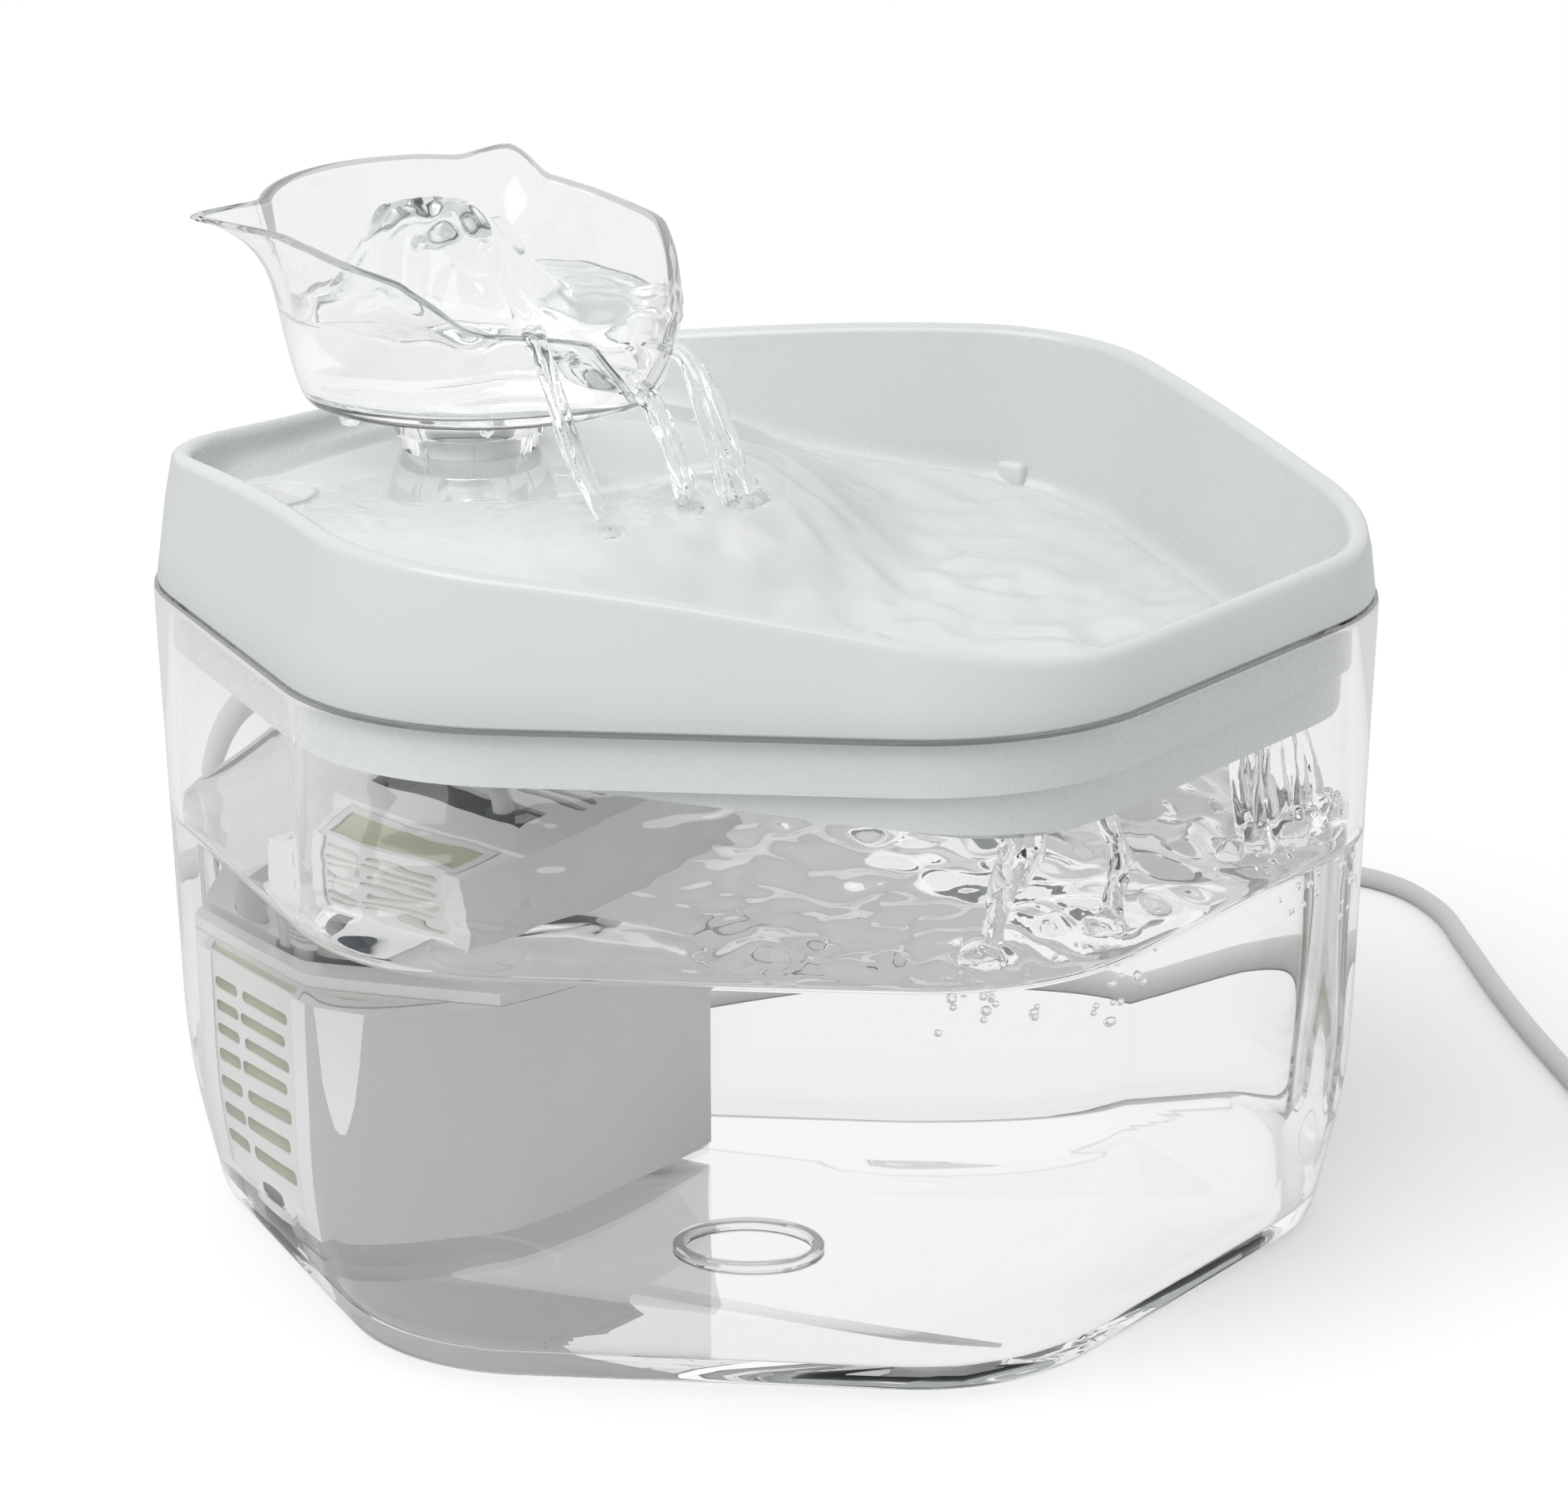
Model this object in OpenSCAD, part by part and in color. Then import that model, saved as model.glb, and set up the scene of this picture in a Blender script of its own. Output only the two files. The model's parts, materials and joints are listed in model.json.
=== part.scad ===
// Pet water fountain: a clear six-sided tank with a drinking tray on top, a swivelling
// cat-ear spout bowl, and a submerged housing that holds the pump and two filter cartridges.
// Origin: centre of the base on the resting surface. +Z up, -Y is the low drinking side,
// +Y is the spout side, the hexagon's corners point along +X and -X.

/* [Tank] */
// Height of the seam between the tank and the tray
seam_z = 107; // [100:1:112]
// Width across two opposite corners at the seam
across_corners = 200; // [194:1:206]
// Radius of the upright corners at the seam
corner_r = 41; // [38:1:43]
// Wall thickness of the clear tank
tank_wall = 2.6; // [2.2:0.1:3]
// Thickness of the tank's floor
tank_floor = 3; // [2.5:0.5:4]
// How far the wall leans in by the height of the knee
knee_inset = 2.7; // [2:0.1:3.5]
// Height of the knee where the wall turns in towards the base
knee_z = 25.6; // [22:0.2:30]
// How far the wall has leaned in at the base
base_inset = 8.5; // [7.5:0.1:10]
// Radius of each rubber foot
foot_r = 9; // [7:0.5:10]
// Distance of each foot from the middle
foot_place = 68; // [60:1:70]

/* [Tray] */
// Height of the rim above the seam at the drinking side
rim_front = 10; // [8:0.5:12]
// Height of the rim above the seam at its highest, on both flanks
rim_high = 25; // [22:0.5:26]
// Height of the rim above the seam behind the spout
rim_back = 18.5; // [17.5:0.5:20]
// Lean of the tray's outer wall, as a slope
tray_lean = 0.16; // [0.12:0.01:0.2]
// Thickness of the rim's rounded lip
lip_t = 3.6; // [3:0.1:4.2]
// Height of the pool floor at the middle of the tray
pool_z = 102.4; // [101:0.2:104]
// Slope of the pool floor towards the drinking side
pool_slope = 0.157; // [0.13:0.001:0.17]
// Height of the raised platform round the spout
platform_z = 120.8; // [119.5:0.1:121.5]
// Thickness of the tray's floor
tray_floor = 2.6; // [2.2:0.1:3]
// Depth of the skirt that drops inside the tank
skirt_h = 7.8; // [6:0.2:9]
// Number of drain slots along the drinking side
drain_count = 5; // [3:1:6]

/* [Spout] */
// Distance of the spout's swivel axis behind the middle of the tray
spout_y = 61; // [60.5:0.1:61.3]
// Distance of the bowl's middle behind the middle of the tray
bowl_y = 58; // [57.5:0.5:59]
// Height of the underside of the bowl's base
bowl_z = 130.8; // [130.4:0.1:132]
// Radius of the bowl's base
bowl_base_r = 29.6; // [28:0.1:30]
// Height of the bowl's rim at its back
bowl_rim_z = 165.6; // [164:0.2:167]
// How far the ears stand out from the rim
ear_reach = 11.3; // [8:0.1:12]
// Wall thickness of the clear bowl
bowl_wall = 2.2; // [1.8:0.1:2.6]
// Radius of the clear collar at its foot
collar_r = 11.2; // [11:0.1:12]

/* [Housing] */
// Distance from the middle to the outer face of each cartridge pocket
housing_half_w = 37.5; // [36:0.5:39]
// Front of the housing at its middle
housing_front_y = 29.5; // [28:0.5:30]
// Back of the housing
housing_back_y = 78; // [77.5:0.1:78.2]
// Height of the housing's walls
housing_top_z = 42.5; // [42:0.5:46]
// Wall thickness of the housing
housing_wall = 1.8; // [1.5:0.1:2.2]
// Rows of slots in each cartridge face
slot_rows = 7; // [5:1:8]

/* [Pump] */
// Height of the rotor's axis
rotor_z = 23.5; // [23:0.5:24]
// Half width of the pump
pump_half_w = 16; // [15:0.5:17]
// Radius of the magnet
magnet_r = 6.6; // [6:0.1:6.8]
// Number of impeller vanes
vane_count = 6; // [4:1:8]
// Outer radius of the riser tube
riser_r = 6; // [5.6:0.1:6.2]

/* [Cord] */
// Diameter of the power cord
cord_d = 3.8; // [3.4:0.1:4]
// Middle radius of the coil's middle column of turns
coil_r = 21; // [20:0.5:24]

/* [Hidden] */
$fn = 64;

// ---------- Shared outline: a regular hexagon with round corners ----------
secant = 2 / sqrt(3);
vertex_r = across_corners / 2 + (secant - 1) * corner_r;
apothem = vertex_r * cos(30);
arc_steps = 5;
flat_steps = 5;
ring_n = 6 * (arc_steps + flat_steps);

// Point k of the outline after moving every side inwards by t.
function hex_point(k, t) =
    let (side = floor(k / (arc_steps + flat_steps)),
         j = k % (arc_steps + flat_steps),
         r = max(corner_r - t, 6),
         centre_d = vertex_r - t * secant - r * secant,
         a = 60 * side,
         c = centre_d * [cos(a), sin(a)],
         start = c + r * [cos(a + 30), sin(a + 30)],
         end = centre_d * [cos(a + 60), sin(a + 60)] + r * [cos(a + 30), sin(a + 30)])
    j <= arc_steps
        ? c + r * [cos(a - 30 + 60 * j / arc_steps), sin(a - 30 + 60 * j / arc_steps)]
        : start + (end - start) * (j - arc_steps) / flat_steps;

function bezier(a, b, c, n) =
    [for (i = [0:n]) let (u = i / n) a * (1 - u) * (1 - u) + 2 * b * u * (1 - u) + c * u * u];

function smooth(u) = let (v = min(max(u, 0), 1)) v * v * (3 - 2 * v);

// Closed solid through a stack of rings. The first and last rings are closed by fans.
module loft(rings) {
    n = len(rings[0]);
    m = len(rings);
    first = [for (axis = [0:2]) [for (p = rings[0]) p[axis]] * [for (p = rings[0]) 1] / n];
    last = [for (axis = [0:2]) [for (p = rings[m - 1]) p[axis]] * [for (p = rings[m - 1]) 1] / n];
    points = concat([for (ring = rings) each ring], [first, last]);
    walls = [for (i = [0:m - 2], k = [0:n - 1], half = [0:1])
        let (a = i * n + k, b = i * n + (k + 1) % n, c = a + n, d = b + n)
        half == 0 ? [a, c, b] : [b, c, d]];
    caps = [for (k = [0:n - 1], end = [0:1])
        end == 0 ? [m * n, k, (k + 1) % n]
                 : [m * n + 1, (m - 1) * n + (k + 1) % n, (m - 1) * n + k]];
    polyhedron(points = points, faces = concat(walls, caps), convexity = 8);
}

// Rounded rectangle prism in plan, from z = 0 up, centred on the origin in plan.
module rounded_block(w, d, h, r) {
    linear_extrude(h)
        rounded_plate(w, d, r);
}

module rounded_plate(w, d, r) {
    square([w - 2 * r, d], center = true);
    square([w, d - 2 * r], center = true);
    for (sx = [-1, 1], sy = [-1, 1])
        translate([sx * (w / 2 - r), sy * (d / 2 - r)])
            circle(r);
}

// Slot with round ends along X, total length l and width w.
module slot_plate(l, w) {
    square([l - w, w], center = true);
    for (s = [-1, 1])
        translate([s * (l - w) / 2, 0])
            circle(d = w, $fn = 24);
}

module tube(r_out, r_in, h) {
    difference() {
        cylinder(r = r_out, h = h);
        translate([0, 0, -1])
            cylinder(r = r_in, h = h + 2);
    }
}

// Turns a shape drawn along +Z so that it runs along +Y.
module along_y() {
    rotate([-90, 0, 0])
        children();
}

// ---------- Tank ----------
base_z = 0.6;
floor_z = base_z + tank_floor;
draft = knee_inset / (seam_z - knee_z);
notch_x = -12;
notch_w = 6;
cord_exit_z = seam_z - 5.5;

tank_outside = concat(
    [[0.15, seam_z], [0, seam_z - 1.2]],
    bezier([draft * (seam_z - 37), 37], [knee_inset, knee_z], [5.2, 15], 4),
    bezier([base_inset - 0.8, 4], [base_inset, base_z], [base_inset + 3, base_z], 3));
tank_inside = concat(
    bezier([base_inset + 9, floor_z], [base_inset + 3.4, floor_z],
           [base_inset + 1.2, floor_z + 4.6], 4),
    bezier([5.2 + tank_wall, 16], [knee_inset + tank_wall, knee_z + 0.6],
           [draft * (seam_z - 37) + tank_wall, 38], 4),
    [[tank_wall, seam_z - 1], [tank_wall - 0.2, seam_z]]);

// Rings of the whole shell: up the inside from the floor, over the rim, down to the base.
function profile_rings(profile) =
    [for (p = profile) [for (k = [0:ring_n - 1]) let (q = hex_point(k, p[0])) [q[0], q[1], p[1]]]];

function reversed(list) = [for (i = [len(list) - 1:-1:0]) list[i]];

module tank() {
    color([0.93, 0.95, 0.96, 0.35])
    difference() {
        union() {
            loft(reversed(profile_rings(concat(tank_inside, tank_outside))));
            floor_ring();
        }
        foot_recesses();
        cord_notch();
    }
}

module floor_ring() {
    translate([0, 0, floor_z - 0.5])
        tube(12.5, 10.5, 2.1);
}

module foot_recesses() {
    for (a = [60, 120, 240, 300])
        rotate(a)
            translate([foot_place, 0, -1])
                cylinder(r = foot_r + 0.2, h = 1 + base_z + 1);
}

module cord_notch() {
    translate([notch_x, apothem, 0]) {
        translate([-notch_w / 2, -8, cord_exit_z])
            cube([notch_w, 16, 12]);
        translate([0, -8, cord_exit_z])
            along_y()
                cylinder(d = notch_w, h = 16);
    }
}

module tank_feet() {
    color([0.85, 0.86, 0.86])
    for (a = [60, 120, 240, 300])
        rotate(a)
            translate([foot_place, 0, 0])
                rotate_extrude()
                    polygon([[0, 0], [foot_r - 0.8, 0], [foot_r, 0.8], [foot_r, base_z + 1],
                             [0, base_z + 1]]);
}

// ---------- Tray ----------
high_at = 105;
low_until = 28;
tray_gap = 0.6;
skirt_t = 2.1;
skirt_in = tank_wall + 0.5;
spigot_r = 8.4;
fit_gap = 0.02;
cap_pos = [-43, 66];
cap_r = 6.3;

// Height of the rim above the seam at an angle from the drinking side.
function rim_height(angle) =
    let (s = (angle - low_until) / (high_at - low_until),
         e = 0.06,
         rise = (s + sqrt(s * s + e * e)) / 2)
    angle < high_at
        ? rim_front + (rim_high - rim_front) * (1 - pow(max(1 - rise, 0), 1.7))
        : rim_back + (rim_high - rim_back) * (1 + cos(180 * (angle - high_at) / (180 - high_at))) / 2;

function angle_from_front(p) = abs(atan2(p[0], -p[1]));

// Height of the tray's floor: a sloping pool with a raised platform round the spout.
function floor_height(p) =
    let (plane = pool_z + pool_slope * p[1],
         d = norm([p[0], p[1] - bowl_y]),
         lift = smooth((75 - d) / 37))
    plane + lift * (platform_z - plane);

// One corner of the tray's section at outline point k: inset and height become a point.
function at_inset(k, t, z) = let (q = hex_point(k, t)) [q[0], q[1], z];

function tray_rim(k) = rim_height(angle_from_front(hex_point(k, 0)));

function inner_inset(k, z) =
    let (h = tray_rim(k)) tray_lean * h + lip_t + 0.1 * (seam_z + h - 1.6 - z);

function floor_edge(k) =
    let (h = tray_rim(k),
         z = floor_height(hex_point(k, tray_lean * h + 7)),
         fillet = min(4, 0.45 * (seam_z + h - z)))
    [inner_inset(k, z + fillet), z, fillet];

function floor_ring_points(f, drop) =
    [for (k = [0:ring_n - 1])
        let (edge = floor_edge(k), q = hex_point(k, edge[0] + 2.6) * f)
        [q[0], q[1], floor_height(q) - drop]];

function tray_rings() =
    let (ks = [0:ring_n - 1], steps = [0.12, 0.3, 0.46, 0.6, 0.74, 0.88, 1])
    concat(
        [for (f = steps) floor_ring_points(f, 0)],
        [[for (k = ks) let (e = floor_edge(k)) at_inset(k, e[0] + 0.8, e[1] + 0.35 * e[2])]],
        [[for (k = ks) let (e = floor_edge(k)) at_inset(k, e[0], e[1] + e[2])]],
        [for (step = [[1, 1.6], [0.8, 0.5], [0.5, 0], [0.2, 0.5], [0.02, 1.6]])
            [for (k = ks) let (h = tray_rim(k))
                at_inset(k, tray_lean * h + step[0] * lip_t, seam_z + h - step[1])]],
        [[for (k = ks) at_inset(k, tray_gap, seam_z + 0.7)]],
        [[for (k = ks) at_inset(k, tray_gap + 0.7, seam_z + 0.1)]],
        [[for (k = ks) at_inset(k, skirt_in, seam_z + 0.1)]],
        [[for (k = ks) at_inset(k, skirt_in + 0.2, seam_z - skirt_h)]],
        [[for (k = ks) at_inset(k, skirt_in + skirt_t, seam_z - skirt_h)]],
        [[for (k = ks)
            let (under = floor_edge(k)[1] - tray_floor, gap = seam_z - skirt_h - under)
            at_inset(k, skirt_in + skirt_t + 0.4, under + min(max(gap / 4, -2.4), 2.4))]],
        [for (f = reversed(steps)) floor_ring_points(f, tray_floor)]);

module tray() {
    color([0.80, 0.82, 0.82])
    difference() {
        union() {
            loft(reversed(tray_rings()));
            spigot_boss();
            level_tabs();
        }
        spigot_hole();
        drain_slots();
        cap_seat();
        skirt_notch();
    }
}

// Thickening of the tray's floor round the hole for the spigot.
module spigot_boss() {
    translate([0, spout_y, platform_z - tray_floor - 1.4])
        cylinder(r1 = spigot_r + 8, r2 = spigot_r + 6, h = tray_floor + 1.5);
}

module spigot_hole() {
    translate([0, spout_y, platform_z - 20])
        cylinder(r = spigot_r + fit_gap, h = 30);
}

module level_tabs() {
    for (s = [-1, 1])
        translate([s * 90.6, 10, pool_z - 1])
            rounded_block(7, 6, 7, 1.5);
}

module drain_slots() {
    pitch = 84 / (drain_count - 1);
    for (i = [0:drain_count - 1])
        translate([-42 + i * pitch, -73, 80])
            linear_extrude(20)
                slot_plate(12, 3.6);
}

module cap_seat() {
    translate([cap_pos[0], cap_pos[1], 110]) {
        cylinder(r = cap_r - 0.9, h = 20);
        translate([0, 0, platform_z - 1.4 - 110])
            cylinder(r = cap_r + 0.3, h = 10);
    }
}

module skirt_notch() {
    translate([notch_x - notch_w / 2 - 1, apothem - 12, 90])
        cube([notch_w + 2, 10, seam_z - 90]);
}

module tray_cap() {
    color([0.84, 0.86, 0.86])
    translate([cap_pos[0], cap_pos[1], platform_z])
        rotate_extrude()
            polygon([[0, 0.1], [cap_r - 0.6, 0.1], [cap_r, -0.4], [cap_r, -1.3],
                     [cap_r - 1.2, -1.3], [cap_r - 1.2, -4.4], [cap_r - 2.6, -4.4],
                     [cap_r - 2.6, -1.6], [0, -1.6]]);
}

// ---------- Spout ----------
collar_low = platform_z + 0.15;
collar_top = bowl_z - 0.4;
collar_flare = 4.4;
neck_r = 10.5;
bowl_steps = 96;
bowl_floor_z = bowl_z + 2;
inlet_r = 5;
seal_room = 0.3;
neck_low = 124.6;
seal_z = 126.7;
spigot_low = 104;
spigot_step = 124.3;
spigot_top = 129.4;
spigot_top_r = 7.6;

// Fitting pressed through the tray: takes the riser below and carries the spout above.
module spout_spigot() {
    color([0.80, 0.82, 0.82])
    translate([0, spout_y, 0])
        difference() {
            union() {
                translate([0, 0, spigot_low])
                    cylinder(r = spigot_r, h = spigot_step - spigot_low);
                translate([0, 0, spigot_step - 0.1])
                    cylinder(r = spigot_top_r, h = spigot_top - spigot_step - 0.5);
                translate([0, 0, spigot_top - 0.6])
                    cylinder(r1 = spigot_top_r, r2 = spigot_top_r - 0.5, h = 0.6);
                translate([0, 0, platform_z - tray_floor - 3.6])
                    cylinder(r = spigot_r + 1.6, h = 2.1);
            }
            translate([0, 0, spigot_low - 1])
                cylinder(r = riser_r + 0.08, h = riser_top + 2 - spigot_low + 1);
            translate([0, 0, spigot_low])
                cylinder(r = riser_r - 1.6, h = 50);
            translate([0, 0, seal_z - 0.75])
                rotate_extrude()
                    translate([spigot_top_r - 0.35, 0])
                        square([2, 1.5]);
        }
}

// Clear collar that the bowl turns in: a cone with eight fine ribs.
module spout_collar() {
    color([0.9, 0.93, 0.95, 0.4])
    translate([0, spout_y, 0])
        difference() {
            union() {
                collar_cone(0);
                intersection() {
                    collar_cone(0.4);
                    for (i = [0:3])
                        rotate(45 * i)
                            translate([-25, -0.4, collar_low])
                                cube([50, 0.8, collar_top - collar_low - 0.8]);
                }
            }
            translate([0, 0, platform_z - 1])
                cylinder(r = spigot_r + seal_room, h = 6);
            translate([0, 0, neck_low - 0.1])
                cylinder(r = neck_r + 0.1, h = 20);
        }
}

module collar_cone(out) {
    translate([0, 0, collar_low])
        cylinder(r1 = collar_r + out, r2 = collar_r + collar_flare + out,
                 h = collar_top - collar_low);
}

// Tube under the bowl that turns in the collar and slips over the spigot's seal.
module spout_neck() {
    color([0.9, 0.93, 0.95, 0.4])
    translate([0, spout_y, neck_low])
        tube(neck_r, spigot_r + seal_room, bowl_z - neck_low);
}

module spout_seal() {
    color([0.25, 0.27, 0.28])
    translate([0, spout_y, seal_z])
        rotate_extrude()
            translate([spigot_top_r + 0.34, 0])
                circle(0.67, $fn = 24);
}

// Half outline of the bowl's rim, from the back round one cheek to the pouring lip:
// angle from the back and distance from the bowl's middle.
rim_outline = [[0, 34.5], [30, 35.6], [45, 36.8], [60, 38], [70, 37.6], [82, 36.8], [96, 36.8],
               [108, 37.2], [117, 36.2], [125, 35], [136, 33.9], [147, 33.8], [157, 34.7],
               [165, 35], [180, 33.9]];
// Angle from the back and how far the rim has dropped there.
rim_drop = [[0, 0], [30, 0.4], [45, 1.2], [58, 2.6], [70, 4.5], [82, 5.9], [96, 7.8], [108, 9.5],
            [112, 11.2], [117, 13.3], [121, 15.3], [125, 17.1], [130, 18.1], [141, 18.9],
            [152, 19.8], [161, 21], [165, 23.6], [172, 28], [180, 31.8]];
ear_angle = 57;
ear_rise = 1;
ear_half = 14;
ear_depth = 7;

// Pointed wave of the ears.
function peak(u) = let (v = max(1 - abs(u), 0)) v * v * (1.9 - 0.9 * v);

function bowl_point(angle, u, shrink) =
    let (a = angle > 180 ? 360 - angle : angle,
         rim_r = lookup(a, rim_outline),
         ear = peak((a - ear_angle) / ear_half),
         top_z = bowl_rim_z - lookup(a, rim_drop) + ear * ear_rise,
         wall_foot = bowl_base_r + 0.9,
         r = wall_foot + (rim_r - wall_foot) * pow(u, 0.75) + ear * ear_reach * pow(u, ear_depth)
             - shrink,
         z = bowl_floor_z + (top_z - bowl_floor_z) * u)
    [sin(angle) * r, cos(angle) * r, z];

function bowl_ring(u, shrink, lift = 0) =
    [for (k = [0:bowl_steps - 1])
        let (q = bowl_point(360 * k / bowl_steps, u, shrink)) [q[0], q[1], q[2] + lift]];

function flat_ring(r, z) =
    [for (k = [0:bowl_steps - 1]) let (a = 360 * k / bowl_steps) [r * sin(a), r * cos(a), z]];

function bowl_rings() =
    let (levels = [1, 0.93, 0.84, 0.7, 0.5, 0.32, 0.16])
    concat(
        [flat_ring(bowl_base_r - 12, bowl_z), flat_ring(bowl_base_r - 0.6, bowl_z),
         flat_ring(bowl_base_r + 0.2, bowl_z + 0.6), flat_ring(bowl_base_r + 0.8, bowl_z + 1.9)],
        [for (u = reversed(levels)) bowl_ring(u, 0)],
        [bowl_ring(1, bowl_wall * 0.5, 0.3)],
        [for (u = levels) bowl_ring(u, bowl_wall)],
        [flat_ring(bowl_base_r - 4, bowl_floor_z), flat_ring(bowl_base_r - 14, bowl_floor_z - 0.2)]);

module spout_bowl() {
    color([0.9, 0.93, 0.95, 0.35])
    difference() {
        translate([0, bowl_y, 0])
            loft(reversed(bowl_rings()));
        translate([0, spout_y, bowl_z - 5])
            cylinder(r = inlet_r, h = 20);
    }
}

// ---------- Riser ----------
riser_bottom = 40;
riser_top = 116;

module riser_tube() {
    color([0.82, 0.84, 0.84])
    translate([0, spout_y, riser_bottom])
        tube(riser_r, riser_r - 1.6, riser_top - riser_bottom);
}

module riser_seal() {
    color([0.3, 0.32, 0.33])
    translate([0, spout_y, 103])
        tube(riser_r + 1.4, riser_r, 0.9);
}

// ---------- Housing ----------
tub_floor_z = 6;
tub_inner_x = 23;
pocket_x = 25.2;
cartridge_t = 11;
cartridge_y0 = 35.9;
cartridge_l = 35.6;
cartridge_h = 34.8;
seat_gap = 0.05;
cartridge_z = tub_floor_z + housing_wall + seat_gap;
rail_y = cartridge_y0 + cartridge_l + 0.4;
front_bulge = 4.2;
front_arc_r = (housing_half_w * housing_half_w + front_bulge * front_bulge) / (2 * front_bulge);

// Plan of the housing: convex front, straight sides, shallow back.
module housing_plan() {
    intersection() {
        translate([0, housing_front_y + front_arc_r])
            circle(front_arc_r, $fn = 180);
        translate([-housing_half_w, housing_front_y])
            square([2 * housing_half_w, rail_y + housing_wall - housing_front_y]);
    }
    translate([-tub_inner_x - housing_wall, 50])
        square([2 * (tub_inner_x + housing_wall), housing_back_y - 50]);
}

// Plan of the pump's compartment, moved inwards from the outer faces of its walls.
module pump_bay_plan(inset) {
    intersection() {
        translate([0, housing_front_y + front_arc_r])
            circle(front_arc_r - inset, $fn = 180);
        translate([-tub_inner_x - housing_wall + inset, housing_front_y])
            square([2 * (tub_inner_x + housing_wall - inset),
                    housing_back_y - inset - housing_front_y]);
    }
}

module housing_tub() {
    color([0.80, 0.81, 0.81])
    difference() {
        union() {
            translate([0, 0, tub_floor_z])
                linear_extrude(housing_top_z - tub_floor_z)
                    housing_plan();
            for (sx = [-1, 1]) {
                translate([sx * 30, 40, floor_z])
                    cylinder(r = 3, h = tub_floor_z - floor_z + 0.5);
                translate([sx * 20, 72, floor_z])
                    cylinder(r = 3, h = tub_floor_z - floor_z + 0.5);
                cup_tab(sx);
            }
        }
        translate([0, 0, tub_floor_z + housing_wall])
            linear_extrude(60)
                pump_bay_plan(housing_wall);
        for (sx = [-1, 1]) {
            cartridge_pocket(sx);
            flow_slots(sx);
        }
    }
}

// Flat tab with the hole that holds a suction cup's neck.
module cup_tab(sx) {
    difference() {
        translate([sx * 41, 50, tub_floor_z + 0.6]) {
            translate([-6, -7.5, 0])
                cube([12, 15, 1.8]);
            translate([sx * 6, 0, 0])
                cylinder(r = 7.5, h = 1.8);
        }
        translate([sx * 47, 50, tub_floor_z - 1])
            cylinder(r = 3.1, h = 6);
    }
}

module cartridge_pocket(sx) {
    translate([sx * (pocket_x - 0.3), cartridge_y0 - 0.3, cartridge_z - seat_gap])
        mirror([sx < 0 ? 1 : 0, 0, 0])
            cube([cartridge_t + 0.8, cartridge_l + 0.6, 60]);
    translate([sx * (pocket_x + 5), cartridge_y0 + 2.4, cartridge_z - seat_gap])
        mirror([sx < 0 ? 1 : 0, 0, 0])
            cube([20, cartridge_l - 4.8, 60]);
}

module flow_slots(sx) {
    for (i = [0:4])
        translate([sx * (tub_inner_x - 1), cartridge_y0 + cartridge_l / 2, 14 + 5.4 * i])
            rotate([90, 0, sx * 90])
                linear_extrude(4)
                    slot_plate(26, 2.6);
}

module housing_lid() {
    color([0.84, 0.85, 0.85])
    difference() {
        union() {
            translate([0, 0, housing_top_z + 0.1])
                linear_extrude(2)
                    pump_bay_plan(0);
            translate([0, 0, housing_top_z - 2.4])
                linear_extrude(2.6)
                    difference() {
                        pump_bay_plan(housing_wall + 0.3);
                        pump_bay_plan(housing_wall + 1.8);
                    }
        }
        translate([0, spout_y, 0])
            cylinder(r = riser_r + 0.4, h = 100);
        lid_grille();
        translate([notch_x - 3.8, 39, 20])
            cube([7.6, 60, 60]);
    }
}

module lid_grille() {
    for (i = [0:6])
        translate([-3 + 3.2 * i, 42.5, 20])
            rotate(90)
                linear_extrude(60)
                    slot_plate(15, 1.7);
}

module suction_cups() {
    color([0.22, 0.24, 0.26])
    for (sx = [-1, 1])
        translate([sx * 47, 50, floor_z])
            rotate_extrude()
                polygon([[0, 1.4], [4, 1.1], [6.4, 0], [7, 0.2], [5.2, 2.2], [2.9, 2.8],
                         [2.9, 5], [4.2, 5.2], [4, 6.4], [1.6, 6.8], [0, 6.8]]);
}

// ---------- Filter cartridges ----------
// Drawn with the outer face towards +X at x = 0 to cartridge_t, y and z from 0.
module cartridge_frame() {
    skin = 1.5;
    difference() {
        cube([cartridge_t, cartridge_l, cartridge_h]);
        translate([skin, skin + 0.4, skin])
            cube([cartridge_t - 2 * skin, cartridge_l - 2 * skin - 0.8, cartridge_h]);
        face_slots();
    }
}

module face_slots() {
    pitch = (cartridge_h - 6) / slot_rows;
    for (i = [0:slot_rows - 1]) {
        z = 5 + pitch * i;
        shift = i % 2 == 0 ? 0 : 1.2;
        translate([-1, 13 + shift, z])
            rotate([90, 0, 90])
                linear_extrude(cartridge_t + 2)
                    slot_plate(17, 2.1);
        translate([-1, 27.8, z])
            rotate([90, 0, 90])
                linear_extrude(cartridge_t + 2)
                    slot_plate(8.6, 2.1);
    }
}

module place_cartridge(sx) {
    mirror([sx < 0 ? 1 : 0, 0, 0])
        translate([pocket_x, cartridge_y0, cartridge_z])
            children();
}

module left_cartridge() {
    color([0.9, 0.91, 0.9])
    place_cartridge(-1)
        cartridge_frame();
}

module right_cartridge() {
    color([0.9, 0.91, 0.9])
    place_cartridge(1)
        cartridge_frame();
}

module filter_pad() {
    translate([1.7, 2.2, 1.7])
        cube([cartridge_t - 3.4, cartridge_l - 4.4, cartridge_h - 2.4]);
}

module left_filter_media() {
    color([0.72, 0.73, 0.62])
    place_cartridge(-1)
        filter_pad();
}

module right_filter_media() {
    color([0.72, 0.73, 0.62])
    place_cartridge(1)
        filter_pad();
}

// ---------- Pump ----------
pump_y = spout_y - 25;
joint_y = spout_y - 5;
cover_end_y = spout_y + 6.5;
pump_low = rotor_z - 14.5;
pump_high = rotor_z + 14.5;
chamber_r = 11.5;
shaft_r = 1;
bush_r = 2.6;
bore_r = shaft_r + 0.05;

module pump_section(length, inset) {
    along_y()
        linear_extrude(length)
            rounded_plate(2 * pump_half_w - 2 * inset, pump_high - pump_low - 2 * inset, 4);
}

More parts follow.
